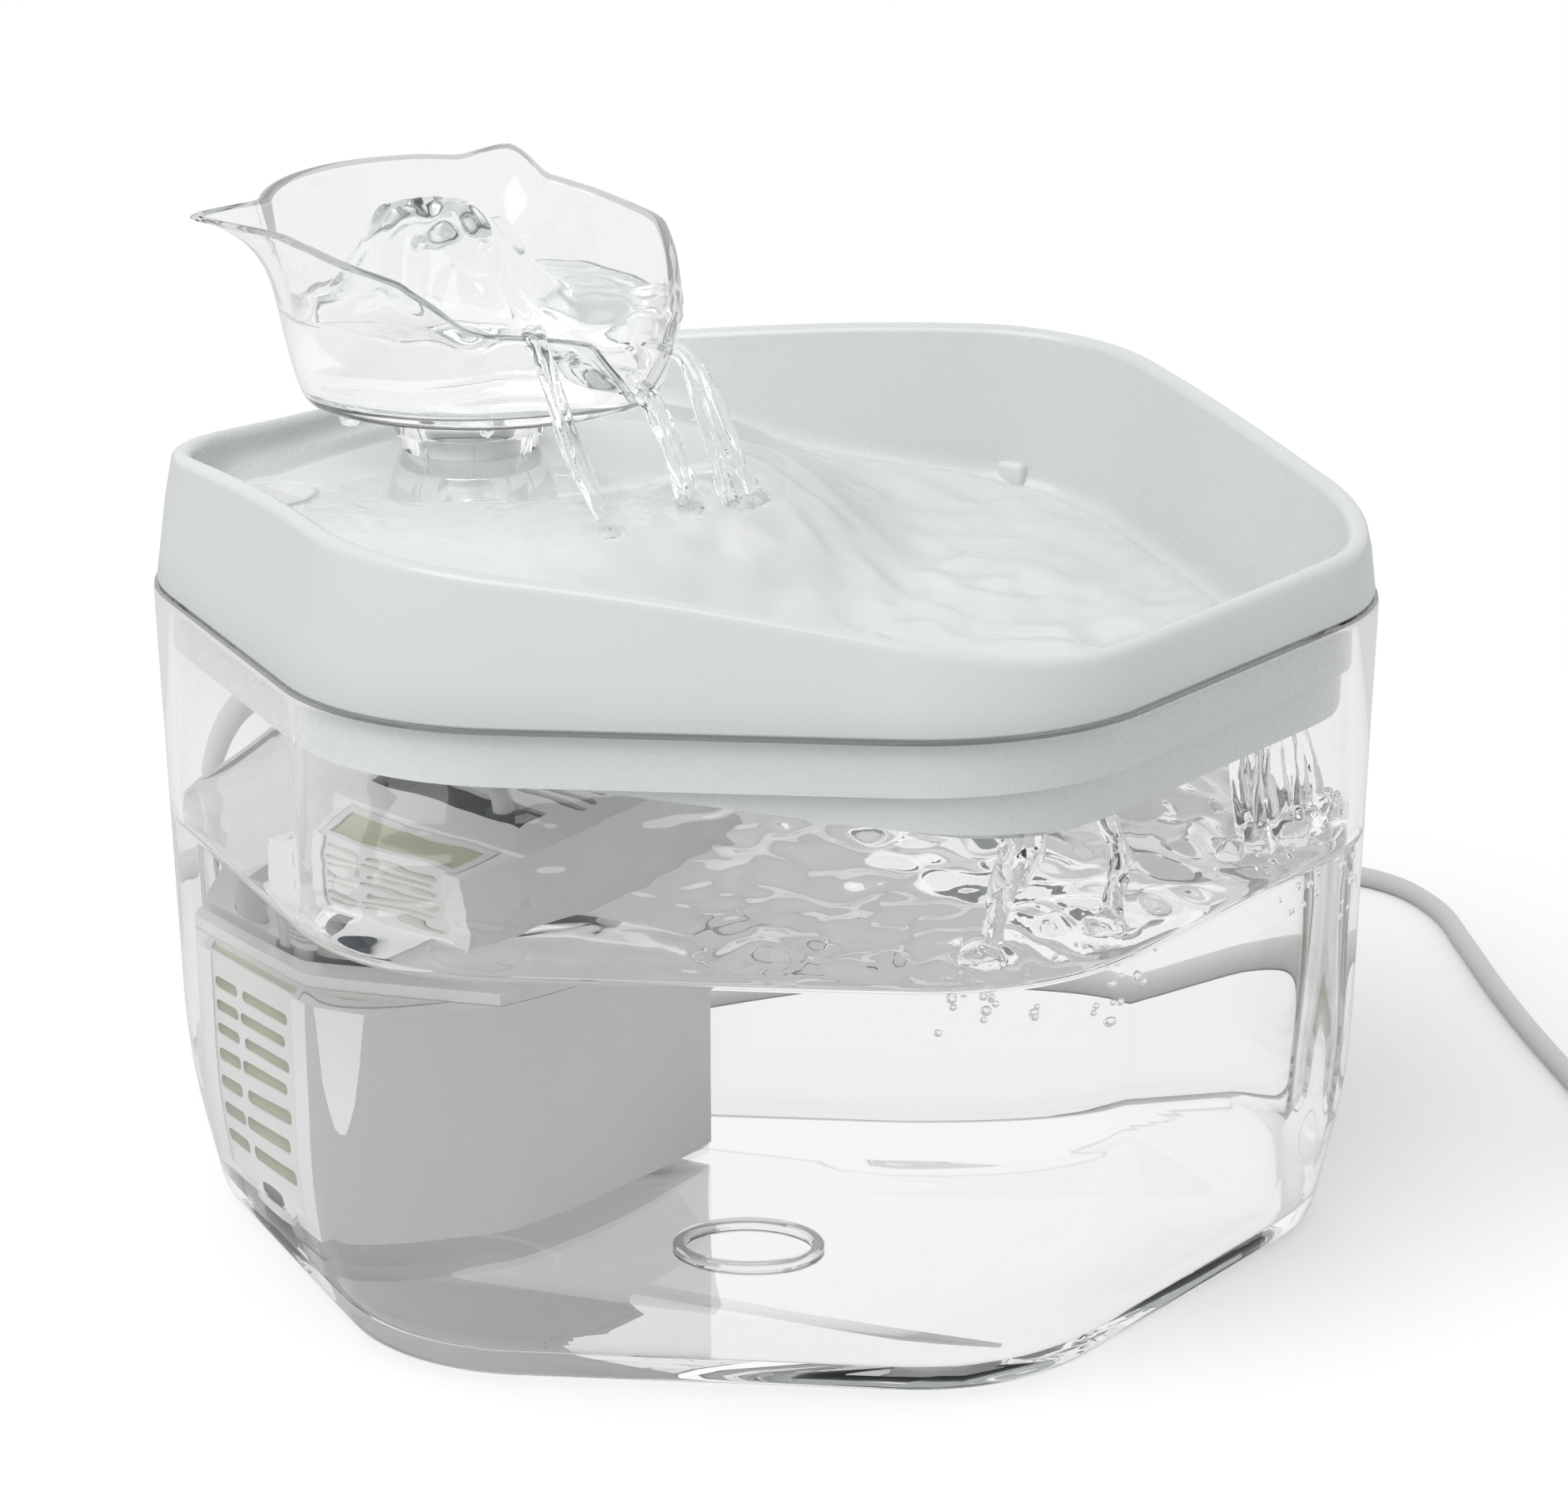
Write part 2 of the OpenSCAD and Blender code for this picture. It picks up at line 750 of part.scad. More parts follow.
module pump_body() {
    color([0.2, 0.22, 0.24])
    difference() {
        union() {
            translate([0, pump_y, rotor_z])
                pump_section(joint_y - 3 - pump_y, 1);
            translate([0, joint_y - 3.5, rotor_z])
                pump_section(3.5, 0);
            for (sx = [-1, 1])
                translate([sx * 10 - 2, pump_y + 2, tub_floor_z + housing_wall])
                    cube([4, 14, pump_low - tub_floor_z]);
        }
        stator_bay(0);
        translate([0, pump_y + 4.5, rotor_z])
            along_y()
                cylinder(r = magnet_r + 0.8, h = 30);
        translate([0, pump_y + 2.5, rotor_z])
            along_y()
                cylinder(r = bush_r, h = 4);
        translate([0, joint_y - 1.7, rotor_z])
            along_y()
                tube(14.1, 12.3, 3);
    }
}

// Room behind the pump's back for stator and board, round the can that holds the rotor.
module stator_bay(gap) {
    difference() {
        translate([0, pump_y - (gap > 0 ? 0 : 1), rotor_z])
            along_y()
                linear_extrude(joint_y - 5 - pump_y + (gap > 0 ? 0 : 1) - gap)
                    rounded_plate(2 * (pump_half_w - 2.6 - gap), 2 * (stator_half_h - gap), 2.5);
        translate([0, pump_y + 0.8 - gap, rotor_z])
            along_y()
                cylinder(r = can_r + gap, h = 30);
    }
}

can_r = magnet_r + 1.7;
stator_half_h = 12.1;
core_r = 11.7;
core_y = pump_y + 5;
core_l = 8.5;

module stator_core() {
    color([0.45, 0.46, 0.48])
    difference() {
        union() {
            translate([0, core_y, rotor_z])
                along_y()
                    tube(core_r, core_r - 1.3, core_l);
            stator_teeth(0.9, core_l, can_r + 0.1, core_r - 0.6);
        }
        translate([0, core_y - 1, rotor_z])
            along_y()
                cylinder(r = can_r + 0.1, h = 20);
    }
}

// Four blocks round the can, half_w wide each way and from radius r0 to r1.
module stator_teeth(half_w, length, r0, r1) {
    for (i = [0:3])
        rotate_about_rotor(45 + 90 * i)
            translate([r0 - 0.4, core_y + (core_l - length) / 2, -half_w])
                cube([r1 - r0 + 0.4, length, 2 * half_w]);
}

module stator_coils() {
    color([0.72, 0.38, 0.16])
    difference() {
        stator_teeth(2.3, core_l + 2.4, can_r + 0.7, core_r - 1.9);
        stator_teeth(0.92, core_l + 0.04, can_r - 1, core_r);
    }
}

module pump_board() {
    color([0.12, 0.4, 0.2])
    difference() {
        translate([0, pump_y + 2, rotor_z])
            along_y()
                linear_extrude(1.2)
                    rounded_plate(25, 22, 1.5);
        translate([0, pump_y, rotor_z])
            along_y()
                cylinder(r = can_r + 0.2, h = 10);
    }
}

module potting_resin() {
    color([0.16, 0.16, 0.17])
    difference() {
        stator_bay(0.02);
        stator_core();
        stator_coils();
        pump_board();
    }
}

module pump_cover() {
    color([0.26, 0.28, 0.3])
    difference() {
        union() {
            translate([0, joint_y, rotor_z])
                pump_section(cover_end_y - joint_y, 0);
            translate([0, spout_y, rotor_z])
                cylinder(r = 4.3, h = 50 - rotor_z);
            translate([0, spout_y + 0.4, pump_high - 0.5])
                cylinder(r = 5.4, h = 1.9);
            for (s = [-1, 1])
                slider_rail(s);
        }
        translate([0, joint_y - 1, rotor_z])
            along_y()
                cylinder(r = chamber_r, h = 9.5);
        translate([-20, joint_y - 10, 0])
            cube([40, 10, 60]);
        translate([0, spout_y, rotor_z + 5])
            cylinder(r = 3, h = 60);
        translate([0, joint_y + 5, rotor_z])
            along_y()
                cylinder(r = bush_r, h = 5.5);
        for (i = [0:5])
            rotate_about_rotor(60 * i)
                translate([6.2, joint_y + 7, 0])
                    along_y()
                        cylinder(r = 1.9, h = 10);
    }
}

module rotate_about_rotor(angle) {
    translate([0, 0, rotor_z])
        rotate([0, angle, 0])
            children();
}

module slider_rail(s) {
    translate([-10, cover_end_y - 0.5, rotor_z + s * 10.2 - 1])
        cube([20, 3, 2]);
    translate([-10, cover_end_y + 1.9, rotor_z + s * 9.6 - 1.4])
        cube([20, 1, 2.8]);
}

module flow_slider() {
    color([0.9, 0.9, 0.9])
    translate([0, cover_end_y + 0.2, rotor_z])
        difference() {
            union() {
                translate([-11, 0, -8.8])
                    cube([22, 1.5, 17.6]);
                translate([-2, 0.4, -2.5])
                    cube([4, 2.6, 5]);
            }
            for (i = [0:5])
                rotate([0, 60 * i, 0])
                    translate([6.2, -1, 0])
                        along_y()
                            cylinder(r = 1.9, h = 6);
        }
}

module pump_seal() {
    color([0.1, 0.1, 0.1])
    translate([0, joint_y - 0.85, rotor_z])
        along_y()
            rotate_extrude()
                translate([13.2, 0])
                    circle(0.8, $fn = 24);
}

sponge_y = cover_end_y + 4.1;
sponge_t = housing_back_y - housing_wall - 0.3 - sponge_y;
sponge_corner = 1.2;

module pump_sponge() {
    color([0.3, 0.32, 0.33])
    translate([0, sponge_y + sponge_t / 2, 9])
        rounded_block(40, sponge_t, 29, sponge_corner);
}

module impeller() {
    color([0.85, 0.85, 0.86])
    difference() {
        union() {
            translate([0, joint_y + 0.4, rotor_z])
                along_y()
                    cylinder(r = 10.4, h = 0.8);
            translate([0, joint_y + 0.4, rotor_z])
                along_y()
                    cylinder(r = 3, h = 7.4);
            for (i = [0:vane_count - 1])
                rotate_about_rotor(360 / vane_count * i)
                    translate([2, joint_y + 1, -0.6])
                        cube([8.2, 5.6, 1.2]);
        }
        translate([0, joint_y - 5, rotor_z])
            along_y()
                cylinder(r = bore_r, h = 20);
    }
}

module rotor_magnet() {
    color([0.3, 0.3, 0.32])
    translate([0, pump_y + 5.1, rotor_z])
        along_y()
            tube(magnet_r, bore_r, joint_y - pump_y - 4.7);
}

module rotor_shaft() {
    color([0.95, 0.95, 0.93])
    translate([0, pump_y + 2.7, rotor_z])
        along_y()
            cylinder(r = shaft_r, h = joint_y - pump_y + 7.5);
}

module shaft_bushes() {
    color([0.12, 0.12, 0.12])
    for (y = [pump_y + 2.5, joint_y + 8.3])
        translate([0, y, rotor_z])
            along_y()
                tube(bush_r, shaft_r, 2);
}

gland_y = pump_y + 10;

module pump_gland() {
    color([0.15, 0.16, 0.17])
    translate([notch_x, gland_y, pump_high - 1])
        difference() {
            cylinder(r1 = 3.6, r2 = 2.9, h = 8);
            translate([0, 0, 1])
                cylinder(d = cord_d, h = 10);
        }
}

// ---------- Cords ----------
// Tube with a given number of sides along a list of centre points.
function unit(v) = v / norm(v);

function tangent(path, i) =
    i == 0 ? unit(path[1] - path[0])
    : i == len(path) - 1 ? unit(path[i] - path[i - 1])
    : unit(path[i + 1] - path[i - 1]);

// Carries the section's first direction along the path without letting it spin.
function carried_all(path, i = 0, done = []) =
    i == len(path) ? done
    : let (t = tangent(path, i),
           s = i == 0 ? (abs(t[2]) > 0.9 ? [1, 0, 0] : [0, 0, 1]) : done[i - 1],
           u = unit(s - (s * t) * t))
      carried_all(path, i + 1, concat(done, [u]));

function tube_rings(path, r, sides) =
    let (ups = carried_all(path))
    [for (i = [0:len(path) - 1])
        let (t = tangent(path, i), u = ups[i], v = cross(t, u))
        [for (k = [0:sides - 1]) let (a = 360 * (k + 0.5) / sides)
            path[i] + r * (cos(a) * u + sin(a) * v)]];

// Smooth curve through the route's points.
function curve_point(route, s) =
    let (i = min(floor(s), len(route) - 2),
         u = s - i,
         p0 = route[max(i - 1, 0)],
         p1 = route[i],
         p2 = route[i + 1],
         p3 = route[min(i + 2, len(route) - 1)])
    0.5 * (2 * p1 + (p2 - p0) * u + (2 * p0 - 5 * p1 + 4 * p2 - p3) * u * u
           + (3 * p1 - p0 - 3 * p2 + p3) * u * u * u);

function curve(route, per) =
    [for (i = [0:(len(route) - 1) * per]) curve_point(route, i / per)];

module cord(route, per) {
    loft(tube_rings(curve(route, per), cord_d / 2, 8));
}

lie = cord_d / 2;
grommet_y = apothem - 4.2;
coil_centre = [125, -129];
coil_out = coil_r + cord_d;

inner_route = [[-12, gland_y, pump_high], [-12, gland_y, 47], [-12, gland_y + 3, 54],
               [-12, gland_y + 9, 59], [-12, 63, 64], [-12, 71, 71], [-12, 77, 80],
               [-12, 79, 90], [-12, 80.5, 97],
               [-12, 84, 101], [-12, 90, 101.5]];
outer_route = [[-12, 90, 101.5], [-12, 97, 101.5], [-12, 102, 100.8], [-12, 107, 98],
               [-12, 110, 93], [-12, 112, 85], [-12, 113, 72], [-11, 114, 58], [-9, 115, 44],
               [-6, 116, 30], [-1, 118, 18], [7, 120, 9], [19, 122, 4.6], [32, 123, 2.4],
               [46, 123, lie], [64, 121, lie], [85, 116, lie], [108, 108, lie], [133, 95, lie],
               [156, 78, lie], [176, 58, lie], [192, 36, lie], [202, 14, lie], [203, -5, lie],
               [194, -21, lie], [178, -36, lie], [160, -52, lie], [142, -69, lie],
               [125, -86, lie], [112, -99, lie], [103, -113, lie],
               [coil_centre[0] - coil_out, coil_centre[1], lie]];
tie_t = 0.6;
coil_mid_z = 1.5 * cord_d + tie_t;
plug_z = 3 * cord_d + tie_t + 4;
plug_x = 134;
plug_y = -117;
tail_x = coil_centre[0] + coil_r - cord_d;
tail_z = tie_t + 2.5 * cord_d;
tail_route = [[tail_x, coil_centre[1], tail_z], [tail_x - 0.6, -124.6, tail_z + 0.8],
              [tail_x - 2.6, -120.8, tail_z + 2.7], [tail_x - 5.2, -118.2, tail_z + 4.9],
              [plug_x, plug_y, plug_z]];

module inner_cord() {
    color([0.86, 0.87, 0.87])
        cord(inner_route, 3);
}

module power_cord() {
    color([0.86, 0.87, 0.87])
        cord(outer_route, 2);
}

module cord_tail() {
    color([0.86, 0.87, 0.87])
        cord(tail_route, 2);
}

module cord_coil() {
    color([0.86, 0.87, 0.87])
    translate([coil_centre[0], coil_centre[1], coil_mid_z])
        rotate_extrude()
            translate([coil_r, 0])
                rounded_plate(3 * cord_d, 3 * cord_d, lie);
}

module cord_tie() {
    color([0.2, 0.2, 0.2])
    translate([coil_centre[0], coil_centre[1] - coil_r, coil_mid_z])
        rotate([90, 0, 90])
            translate([0, 0, -2.5])
                difference() {
                    rounded_block(3 * cord_d + 2 * tie_t + 0.4, 3 * cord_d + 2 * tie_t, 5,
                                  lie + tie_t);
                    translate([0, 0, -1])
                        rounded_block(3 * cord_d + 0.4, 3 * cord_d, 8, lie);
                }
}

module cord_grommet() {
    color([0.3, 0.32, 0.33])
    translate([notch_x, grommet_y - 3, cord_exit_z])
        difference() {
            union() {
                along_y()
                    cylinder(d = notch_w - 0.1, h = 11);
                translate([-notch_w / 2 + 0.05, 0, 0])
                    cube([notch_w - 0.1, 11, seam_z - cord_exit_z]);
            }
            translate([0, -1, 0])
                along_y()
                    cylinder(d = cord_d, h = 20);
        }
}

module plug_grip() {
    color([0.9, 0.9, 0.9])
    translate([plug_x, plug_y, plug_z])
        rotate([0, -90, 0]) {
            cylinder(r1 = 2.6, r2 = 3.4, h = 6);
            translate([0, 0, 6])
                rounded_block(7.6, 13.6, 18, 2.4);
        }
}

module plug_shell() {
    color([0.75, 0.76, 0.78])
    translate([plug_x - 24, plug_y, plug_z])
        rotate([0, -90, 0])
            difference() {
                translate([-2.25, -6, 0])
                    cube([4.5, 12, 12]);
                translate([-1.9, -5.65, 0.5])
                    cube([3.8, 11.3, 12]);
            }
}

module plug_tongue() {
    color([0.93, 0.93, 0.9])
    translate([plug_x - 24.5, plug_y, plug_z])
        rotate([0, -90, 0])
            translate([-1.8, -5.4, 0])
                cube([1.8, 10.8, 10.5]);
}

tank();
tank_feet();
tray();
tray_cap();
spout_spigot();
spout_collar();
spout_neck();
spout_bowl();
spout_seal();
riser_tube();
riser_seal();
housing_tub();
housing_lid();
suction_cups();
left_cartridge();
right_cartridge();
left_filter_media();
right_filter_media();
pump_body();
stator_core();
stator_coils();
pump_board();
potting_resin();
pump_cover();
flow_slider();
pump_seal();
pump_sponge();
impeller();
rotor_magnet();
rotor_shaft();
shaft_bushes();
pump_gland();
inner_cord();
cord_grommet();
power_cord();
cord_coil();
cord_tail();
cord_tie();
plug_grip();
plug_shell();
plug_tongue();
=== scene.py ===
"""Dressed scene of a clear six-sided pet water fountain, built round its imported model.

Sizes are in millimetres until a mesh is finished, and metres from then on. The origin is the centre
of the base on the resting surface, +Z is up, -Y is the low drinking side and +Y the spout side.
"""

from __future__ import annotations

import json
import logging
import math
from bisect import bisect_right
from dataclasses import dataclass
from enum import Enum
from functools import partial
from typing import Callable, Sequence

import bmesh
import bpy
from mathutils import Matrix, Vector, noise

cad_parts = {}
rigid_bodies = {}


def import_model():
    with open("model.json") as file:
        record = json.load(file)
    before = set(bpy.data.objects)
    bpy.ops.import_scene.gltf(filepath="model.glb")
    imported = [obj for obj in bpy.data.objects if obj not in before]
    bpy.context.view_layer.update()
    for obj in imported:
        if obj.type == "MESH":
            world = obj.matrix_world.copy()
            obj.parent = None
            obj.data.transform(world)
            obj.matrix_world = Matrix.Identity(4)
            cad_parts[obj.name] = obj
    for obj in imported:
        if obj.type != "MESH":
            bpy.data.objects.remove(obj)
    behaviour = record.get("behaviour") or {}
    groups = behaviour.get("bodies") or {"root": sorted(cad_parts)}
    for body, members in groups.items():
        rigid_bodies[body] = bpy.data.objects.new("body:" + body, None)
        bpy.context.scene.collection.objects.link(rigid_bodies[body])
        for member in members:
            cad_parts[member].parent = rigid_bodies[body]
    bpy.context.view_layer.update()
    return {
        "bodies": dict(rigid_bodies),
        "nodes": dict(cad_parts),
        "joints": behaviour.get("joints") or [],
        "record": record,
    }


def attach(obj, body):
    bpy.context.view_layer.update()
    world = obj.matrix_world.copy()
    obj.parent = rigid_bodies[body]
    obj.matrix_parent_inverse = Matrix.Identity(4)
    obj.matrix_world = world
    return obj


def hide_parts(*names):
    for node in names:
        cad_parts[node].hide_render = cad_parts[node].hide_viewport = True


LOG = logging.getLogger("fountain")
FRAME: dict = {}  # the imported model, loaded by main()
MM = 0.001
SEAM_Z = 107.0  # top of the tank's rim, where the tray sits
BOWL_Y = 58.0  # middle of the spout bowl
AXIS_Y = 61.0  # axis on which the bowl turns, over the riser
CORD_X = -12.0  # plane in which the lead crosses the rim
Ring = list[Vector]
Table = tuple[tuple[float, float], ...]


def smooth(u: float) -> float:
    """Ease from 0 to 1 with level ends."""
    v = min(max(u, 0.0), 1.0)
    return v * v * (3 - 2 * v)


def mix(a: float, b: float, u: float) -> float:
    """Value between a and b at share u."""
    return a + (b - a) * u


def bezier(a: Sequence[float], b: Sequence[float], c: Sequence[float],
           n: int) -> list[tuple[float, float]]:
    """Points along a curve with one control point.

    Args:
        a: first end.
        b: control point.
        c: last end.
        n: number of steps.

    Returns:
        n + 1 points in the plane.
    """
    out = []
    for i in range(n + 1):
        u = i / n
        out.append(tuple(a[k] * (1 - u) ** 2 + 2 * b[k] * u * (1 - u) + c[k] * u * u for k in (0, 1)))
    return out


def catmull(points: Sequence[Sequence[float]], per: int) -> list[Vector]:
    """Smooth curve through points.

    Args:
        points: the route in millimetres.
        per: steps between two neighbours.

    Returns:
        The dense route.
    """
    p = [Vector(q) for q in points]
    out = []
    for i in range(len(p) - 1):
        p0, p1, p2, p3 = p[max(i - 1, 0)], p[i], p[i + 1], p[min(i + 2, len(p) - 1)]
        for j in range(per):
            u = j / per
            out.append(0.5 * (2 * p1 + (p2 - p0) * u + (2 * p0 - 5 * p1 + 4 * p2 - p3) * u * u
                              + (3 * p1 - p0 - 3 * p2 + p3) * u ** 3))
    out.append(p[-1])
    return out


def through(table: Table, x: float) -> float:
    """Smooth curve through a table, level at both of its ends.

    Args:
        table: positions, in order, with the value at each.
        x: where the value is wanted.

    Returns:
        The value, never beyond those of its two neighbours.
    """
    i = min(max(bisect_right(table, (x, math.inf)) - 1, 0), len(table) - 2)
    slopes = [(b[1] - a[1]) / (b[0] - a[0]) if b[0] != a[0] else 0.0
              for a, b in ((table[max(i - 1, 0)], table[i]), (table[i], table[i + 1]),
                           (table[i + 1], table[min(i + 2, len(table) - 1)]))]

    def tangent(a: float, b: float) -> float:
        """Slope shared by two neighbouring spans."""
        return 2 * a * b / (a + b) if a * b > 0 else 0.0

    h = table[i + 1][0] - table[i][0]
    u = min(max((x - table[i][0]) / h, 0.0), 1.0)
    rise = (u * (1 - u) ** 2 * tangent(*slopes[:2]) - u * u * (1 - u) * tangent(*slopes[1:])) * h
    return mix(table[i][1], table[i + 1][1], smooth(u)) + rise


def ripple(p: Vector, size: float, seed: float) -> float:
    """Soft noise between about -1 and 1 at a wavelength of size millimetres."""
    return noise.noise(Vector((p.x / size, p.y / size, seed))) * 1.6


# ---------------------------------------------------------------- finishes


class Grain(Enum):
    """Kinds of fine surface relief."""

    MOULDED = "moulded"
    PORES = "pores"
    FIBRES = "fibres"
    BRUSHED = "brushed"


class Nodes:
    """A small helper that builds one material's node tree."""

    def __init__(self, name: str) -> None:
        """Start an empty material.

        Args:
            name: the material's name.
        """
        self.material = bpy.data.materials.new(name)
        self.material.use_nodes = True
        self.tree = self.material.node_tree
        self.tree.nodes.clear()
        self.out = self.add("ShaderNodeOutputMaterial")

    def add(self, kind: str, **values: object) -> bpy.types.Node:
        """Add a node and set its plain properties.

        Args:
            kind: Blender's name for the node.
            values: properties by name.

        Returns:
            The new node.
        """
        node = self.tree.nodes.new(kind)
        for key, value in values.items():
            setattr(node, key, value)
        return node

    def link(self, a: bpy.types.NodeSocket, b: bpy.types.NodeSocket) -> None:
        """Join an output to an input."""
        self.tree.links.new(a, b)

    def noise(self, scale: float, detail: float = 3.0, stretch: Vector | None = None) -> bpy.types.Node:
        """Noise on Object coordinates.

        Args:
            scale: cycles for each metre.
            detail: octaves.
            stretch: scale of each axis before the noise.

        Returns:
            The noise node.
        """
        place = self.add("ShaderNodeTexCoord")
        turn = self.add("ShaderNodeMapping")
        turn.inputs["Scale"].default_value = stretch or Vector((1, 1, 1))
        tex = self.add("ShaderNodeTexNoise")
        tex.inputs["Scale"].default_value = scale
        tex.inputs["Detail"].default_value = detail
        self.link(place.outputs["Object"], turn.inputs["Vector"])
        self.link(turn.outputs["Vector"], tex.inputs["Vector"])
        return tex

    def span(self, source: bpy.types.NodeSocket, low: float, high: float) -> bpy.types.NodeSocket:
        """Map 0.3..0.7 of a texture to low..high.

        Args:
            source: the texture's value.
            low: result where the texture is 0.3.
            high: result where it is 0.7.

        Returns:
            The mapped value.
        """
        ranged = self.add("ShaderNodeMapRange")
        ranged.inputs["From Min"].default_value = 0.3
        ranged.inputs["From Max"].default_value = 0.7
        ranged.inputs["To Min"].default_value = low
        ranged.inputs["To Max"].default_value = high
        self.link(source, ranged.inputs["Value"])
        return ranged.outputs["Result"]

    def tint(self, source: bpy.types.NodeSocket, a: Sequence[float],
             b: Sequence[float]) -> bpy.types.NodeSocket:
        """Blend two colours by a texture.

        Args:
            source: the texture's value.
            a: colour where it is low.
            b: colour where it is high.

        Returns:
            The blended colour.
        """
        ramp = self.add("ShaderNodeValToRGB")
        ramp.color_ramp.elements[0].position = 0.35
        ramp.color_ramp.elements[1].position = 0.65
        ramp.color_ramp.elements[0].color = (*a, 1)
        ramp.color_ramp.elements[1].color = (*b, 1)
        self.link(source, ramp.inputs["Fac"])
        return ramp.outputs["Color"]

    def bump(self, source: bpy.types.NodeSocket, strength: float, distance: float) -> bpy.types.NodeSocket:
        """Relief from a texture.

        Args:
            source: the texture's value, taken as height.
            strength: share of the relief that shows.
            distance: height of the relief in metres.

        Returns:
            The bent normal.
        """
        node = self.add("ShaderNodeBump")
        node.inputs["Strength"].default_value = strength
        node.inputs["Distance"].default_value = distance
        self.link(source, node.inputs["Height"])
        return node.outputs["Normal"]

    def math(self, operation: str, a: bpy.types.NodeSocket,
             b: bpy.types.NodeSocket | float) -> bpy.types.NodeSocket:
        """Work out one value from two.

        Args:
            operation: Blender's name for the operation, such as MAXIMUM.
            a: the first value.
            b: the second value, a socket or a number.

        Returns:
            The result.
        """
        node = self.add("ShaderNodeMath", operation=operation)
        self.link(a, node.inputs[0])
        if isinstance(b, float):
            node.inputs[1].default_value = b
        else:
            self.link(b, node.inputs[1])
        return node.outputs["Value"]

    def diffuse(self, tone: float) -> bpy.types.NodeSocket:
        """Dull grey shader.

        Args:
            tone: its grey, 0 to 1.

        Returns:
            The shader's output.
        """
        node = self.add("ShaderNodeBsdfDiffuse")
        node.inputs["Color"].default_value = (tone, tone, tone, 1)
        return node.outputs["BSDF"]

    def either(self, share: bpy.types.NodeSocket, first: bpy.types.NodeSocket,
               second: bpy.types.NodeSocket) -> bpy.types.NodeSocket:
        """Mix of two shaders.

        Args:
            share: 0 for the first and 1 for the second.
            first: the first shader.
            second: the second shader.

        Returns:
            The mixed shader.
        """
        node = self.add("ShaderNodeMixShader")
        self.link(share, node.inputs["Fac"])
        self.link(first, node.inputs[1])
        self.link(second, node.inputs[2])
        return node.outputs["Shader"]

    def see_through(self, shader: bpy.types.Node, shade: float, mirrors: float = 2.5,
                    depth: float = 7.5) -> None:
        """Finish a clear material.

        Rays from lamps pass straight through, and so do rays that have already bounced many times, which
        would otherwise end in black inside the clear walls.

        Args:
            shader: the shader that every other ray meets.
            shade: share of light that passes.
            mirrors: reflections after which a ray passes.
            depth: bounces of all kinds after which a ray passes.
        """
        clear = self.add("ShaderNodeBsdfTransparent")
        clear.inputs["Color"].default_value = (shade, shade, shade, 1)
        path = self.add("ShaderNodeLightPath")
        mirrored = self.math("GREATER_THAN", path.outputs["Glossy Depth"], mirrors)
        deep = self.math("MAXIMUM", self.math("GREATER_THAN", path.outputs["Ray Depth"], depth), mirrored)
        passes = self.math("MAXIMUM", path.outputs["Is Shadow Ray"], deep)
        mixed = self.either(passes, shader.outputs["BSDF"], clear.outputs["BSDF"])
        self.link(mixed, self.out.inputs["Surface"])


@dataclass(frozen=True)
class SolidFinish:
    """An opaque finish with a grain, slight colour drift and its own gloss."""

    name: str
    colour: tuple[float, float, float]
    drift: float = 0.03
    roughness: tuple[float, float] = (0.32, 0.42)
    grain: Grain = Grain.MOULDED
    relief: float = 0.08
    scale: float = 900.0
    metallic: float = 0.0
    coat: float = 0.0
    sheen: float = 0.0

    def build(self) -> bpy.types.Material:
        """Make the material.

        Returns:
            The new material.
        """
        n = Nodes(self.name)
        shader = n.add("ShaderNodeBsdfPrincipled")
        shader.inputs["Metallic"].default_value = self.metallic
        shader.inputs["Coat Weight"].default_value = self.coat
        shader.inputs["Coat Roughness"].default_value = 0.12
        shader.inputs["Sheen Weight"].default_value = self.sheen
        broad = n.noise(26.0, 2.0)
        low = tuple(max(c * (1 - self.drift), 0.0) for c in self.colour)
        high = tuple(min(c * (1 + self.drift), 1.0) for c in self.colour)
        n.link(n.tint(broad.outputs["Fac"], low, high), shader.inputs["Base Color"])
        fine = self._texture(n)
        n.link(n.span(fine, *self.roughness), shader.inputs["Roughness"])
        n.link(n.bump(fine, self.relief, 0.0004), shader.inputs["Normal"])
        n.link(shader.outputs["BSDF"], n.out.inputs["Surface"])
        return n.material

    def _texture(self, n: Nodes) -> bpy.types.NodeSocket:
        """Add the texture of the grain.

        Args:
            n: nodes of the material.

        Returns:
            The texture's value.
        """
        if self.grain is Grain.PORES:
            place = n.add("ShaderNodeTexCoord")
            tex = n.add("ShaderNodeTexVoronoi")
            tex.inputs["Scale"].default_value = self.scale
            n.link(place.outputs["Object"], tex.inputs["Vector"])
            return tex.outputs["Distance"]
        if self.grain is Grain.FIBRES:
            return n.noise(self.scale, 6.0, Vector((1, 0.25, 1))).outputs["Fac"]
        if self.grain is Grain.BRUSHED:
            return n.noise(self.scale, 3.0, Vector((0.04, 1, 1))).outputs["Fac"]
        return n.noise(self.scale, 3.0).outputs["Fac"]


@dataclass(frozen=True)
class ClearFinish:
    """A see-through finish that lets lamps pass to what is behind it."""

    name: str
    colour: tuple[float, float, float]
    ior: float
    roughness: float = 0.0
    shade: float = 0.96
    mirrors: float = 2.5
    depth: float = 7.5

    def build(self) -> bpy.types.Material:
        """Make the material.

        Returns:
            The new material.
        """
        n = Nodes(self.name)
        shader = n.add("ShaderNodeBsdfPrincipled")
        shader.inputs["Base Color"].default_value = (*self.colour, 1)
        shader.inputs["Transmission Weight"].default_value = 1.0
        shader.inputs["IOR"].default_value = self.ior
        shader.inputs["Roughness"].default_value = self.roughness
        n.see_through(shader, self.shade, self.mirrors, self.depth)
        return n.material


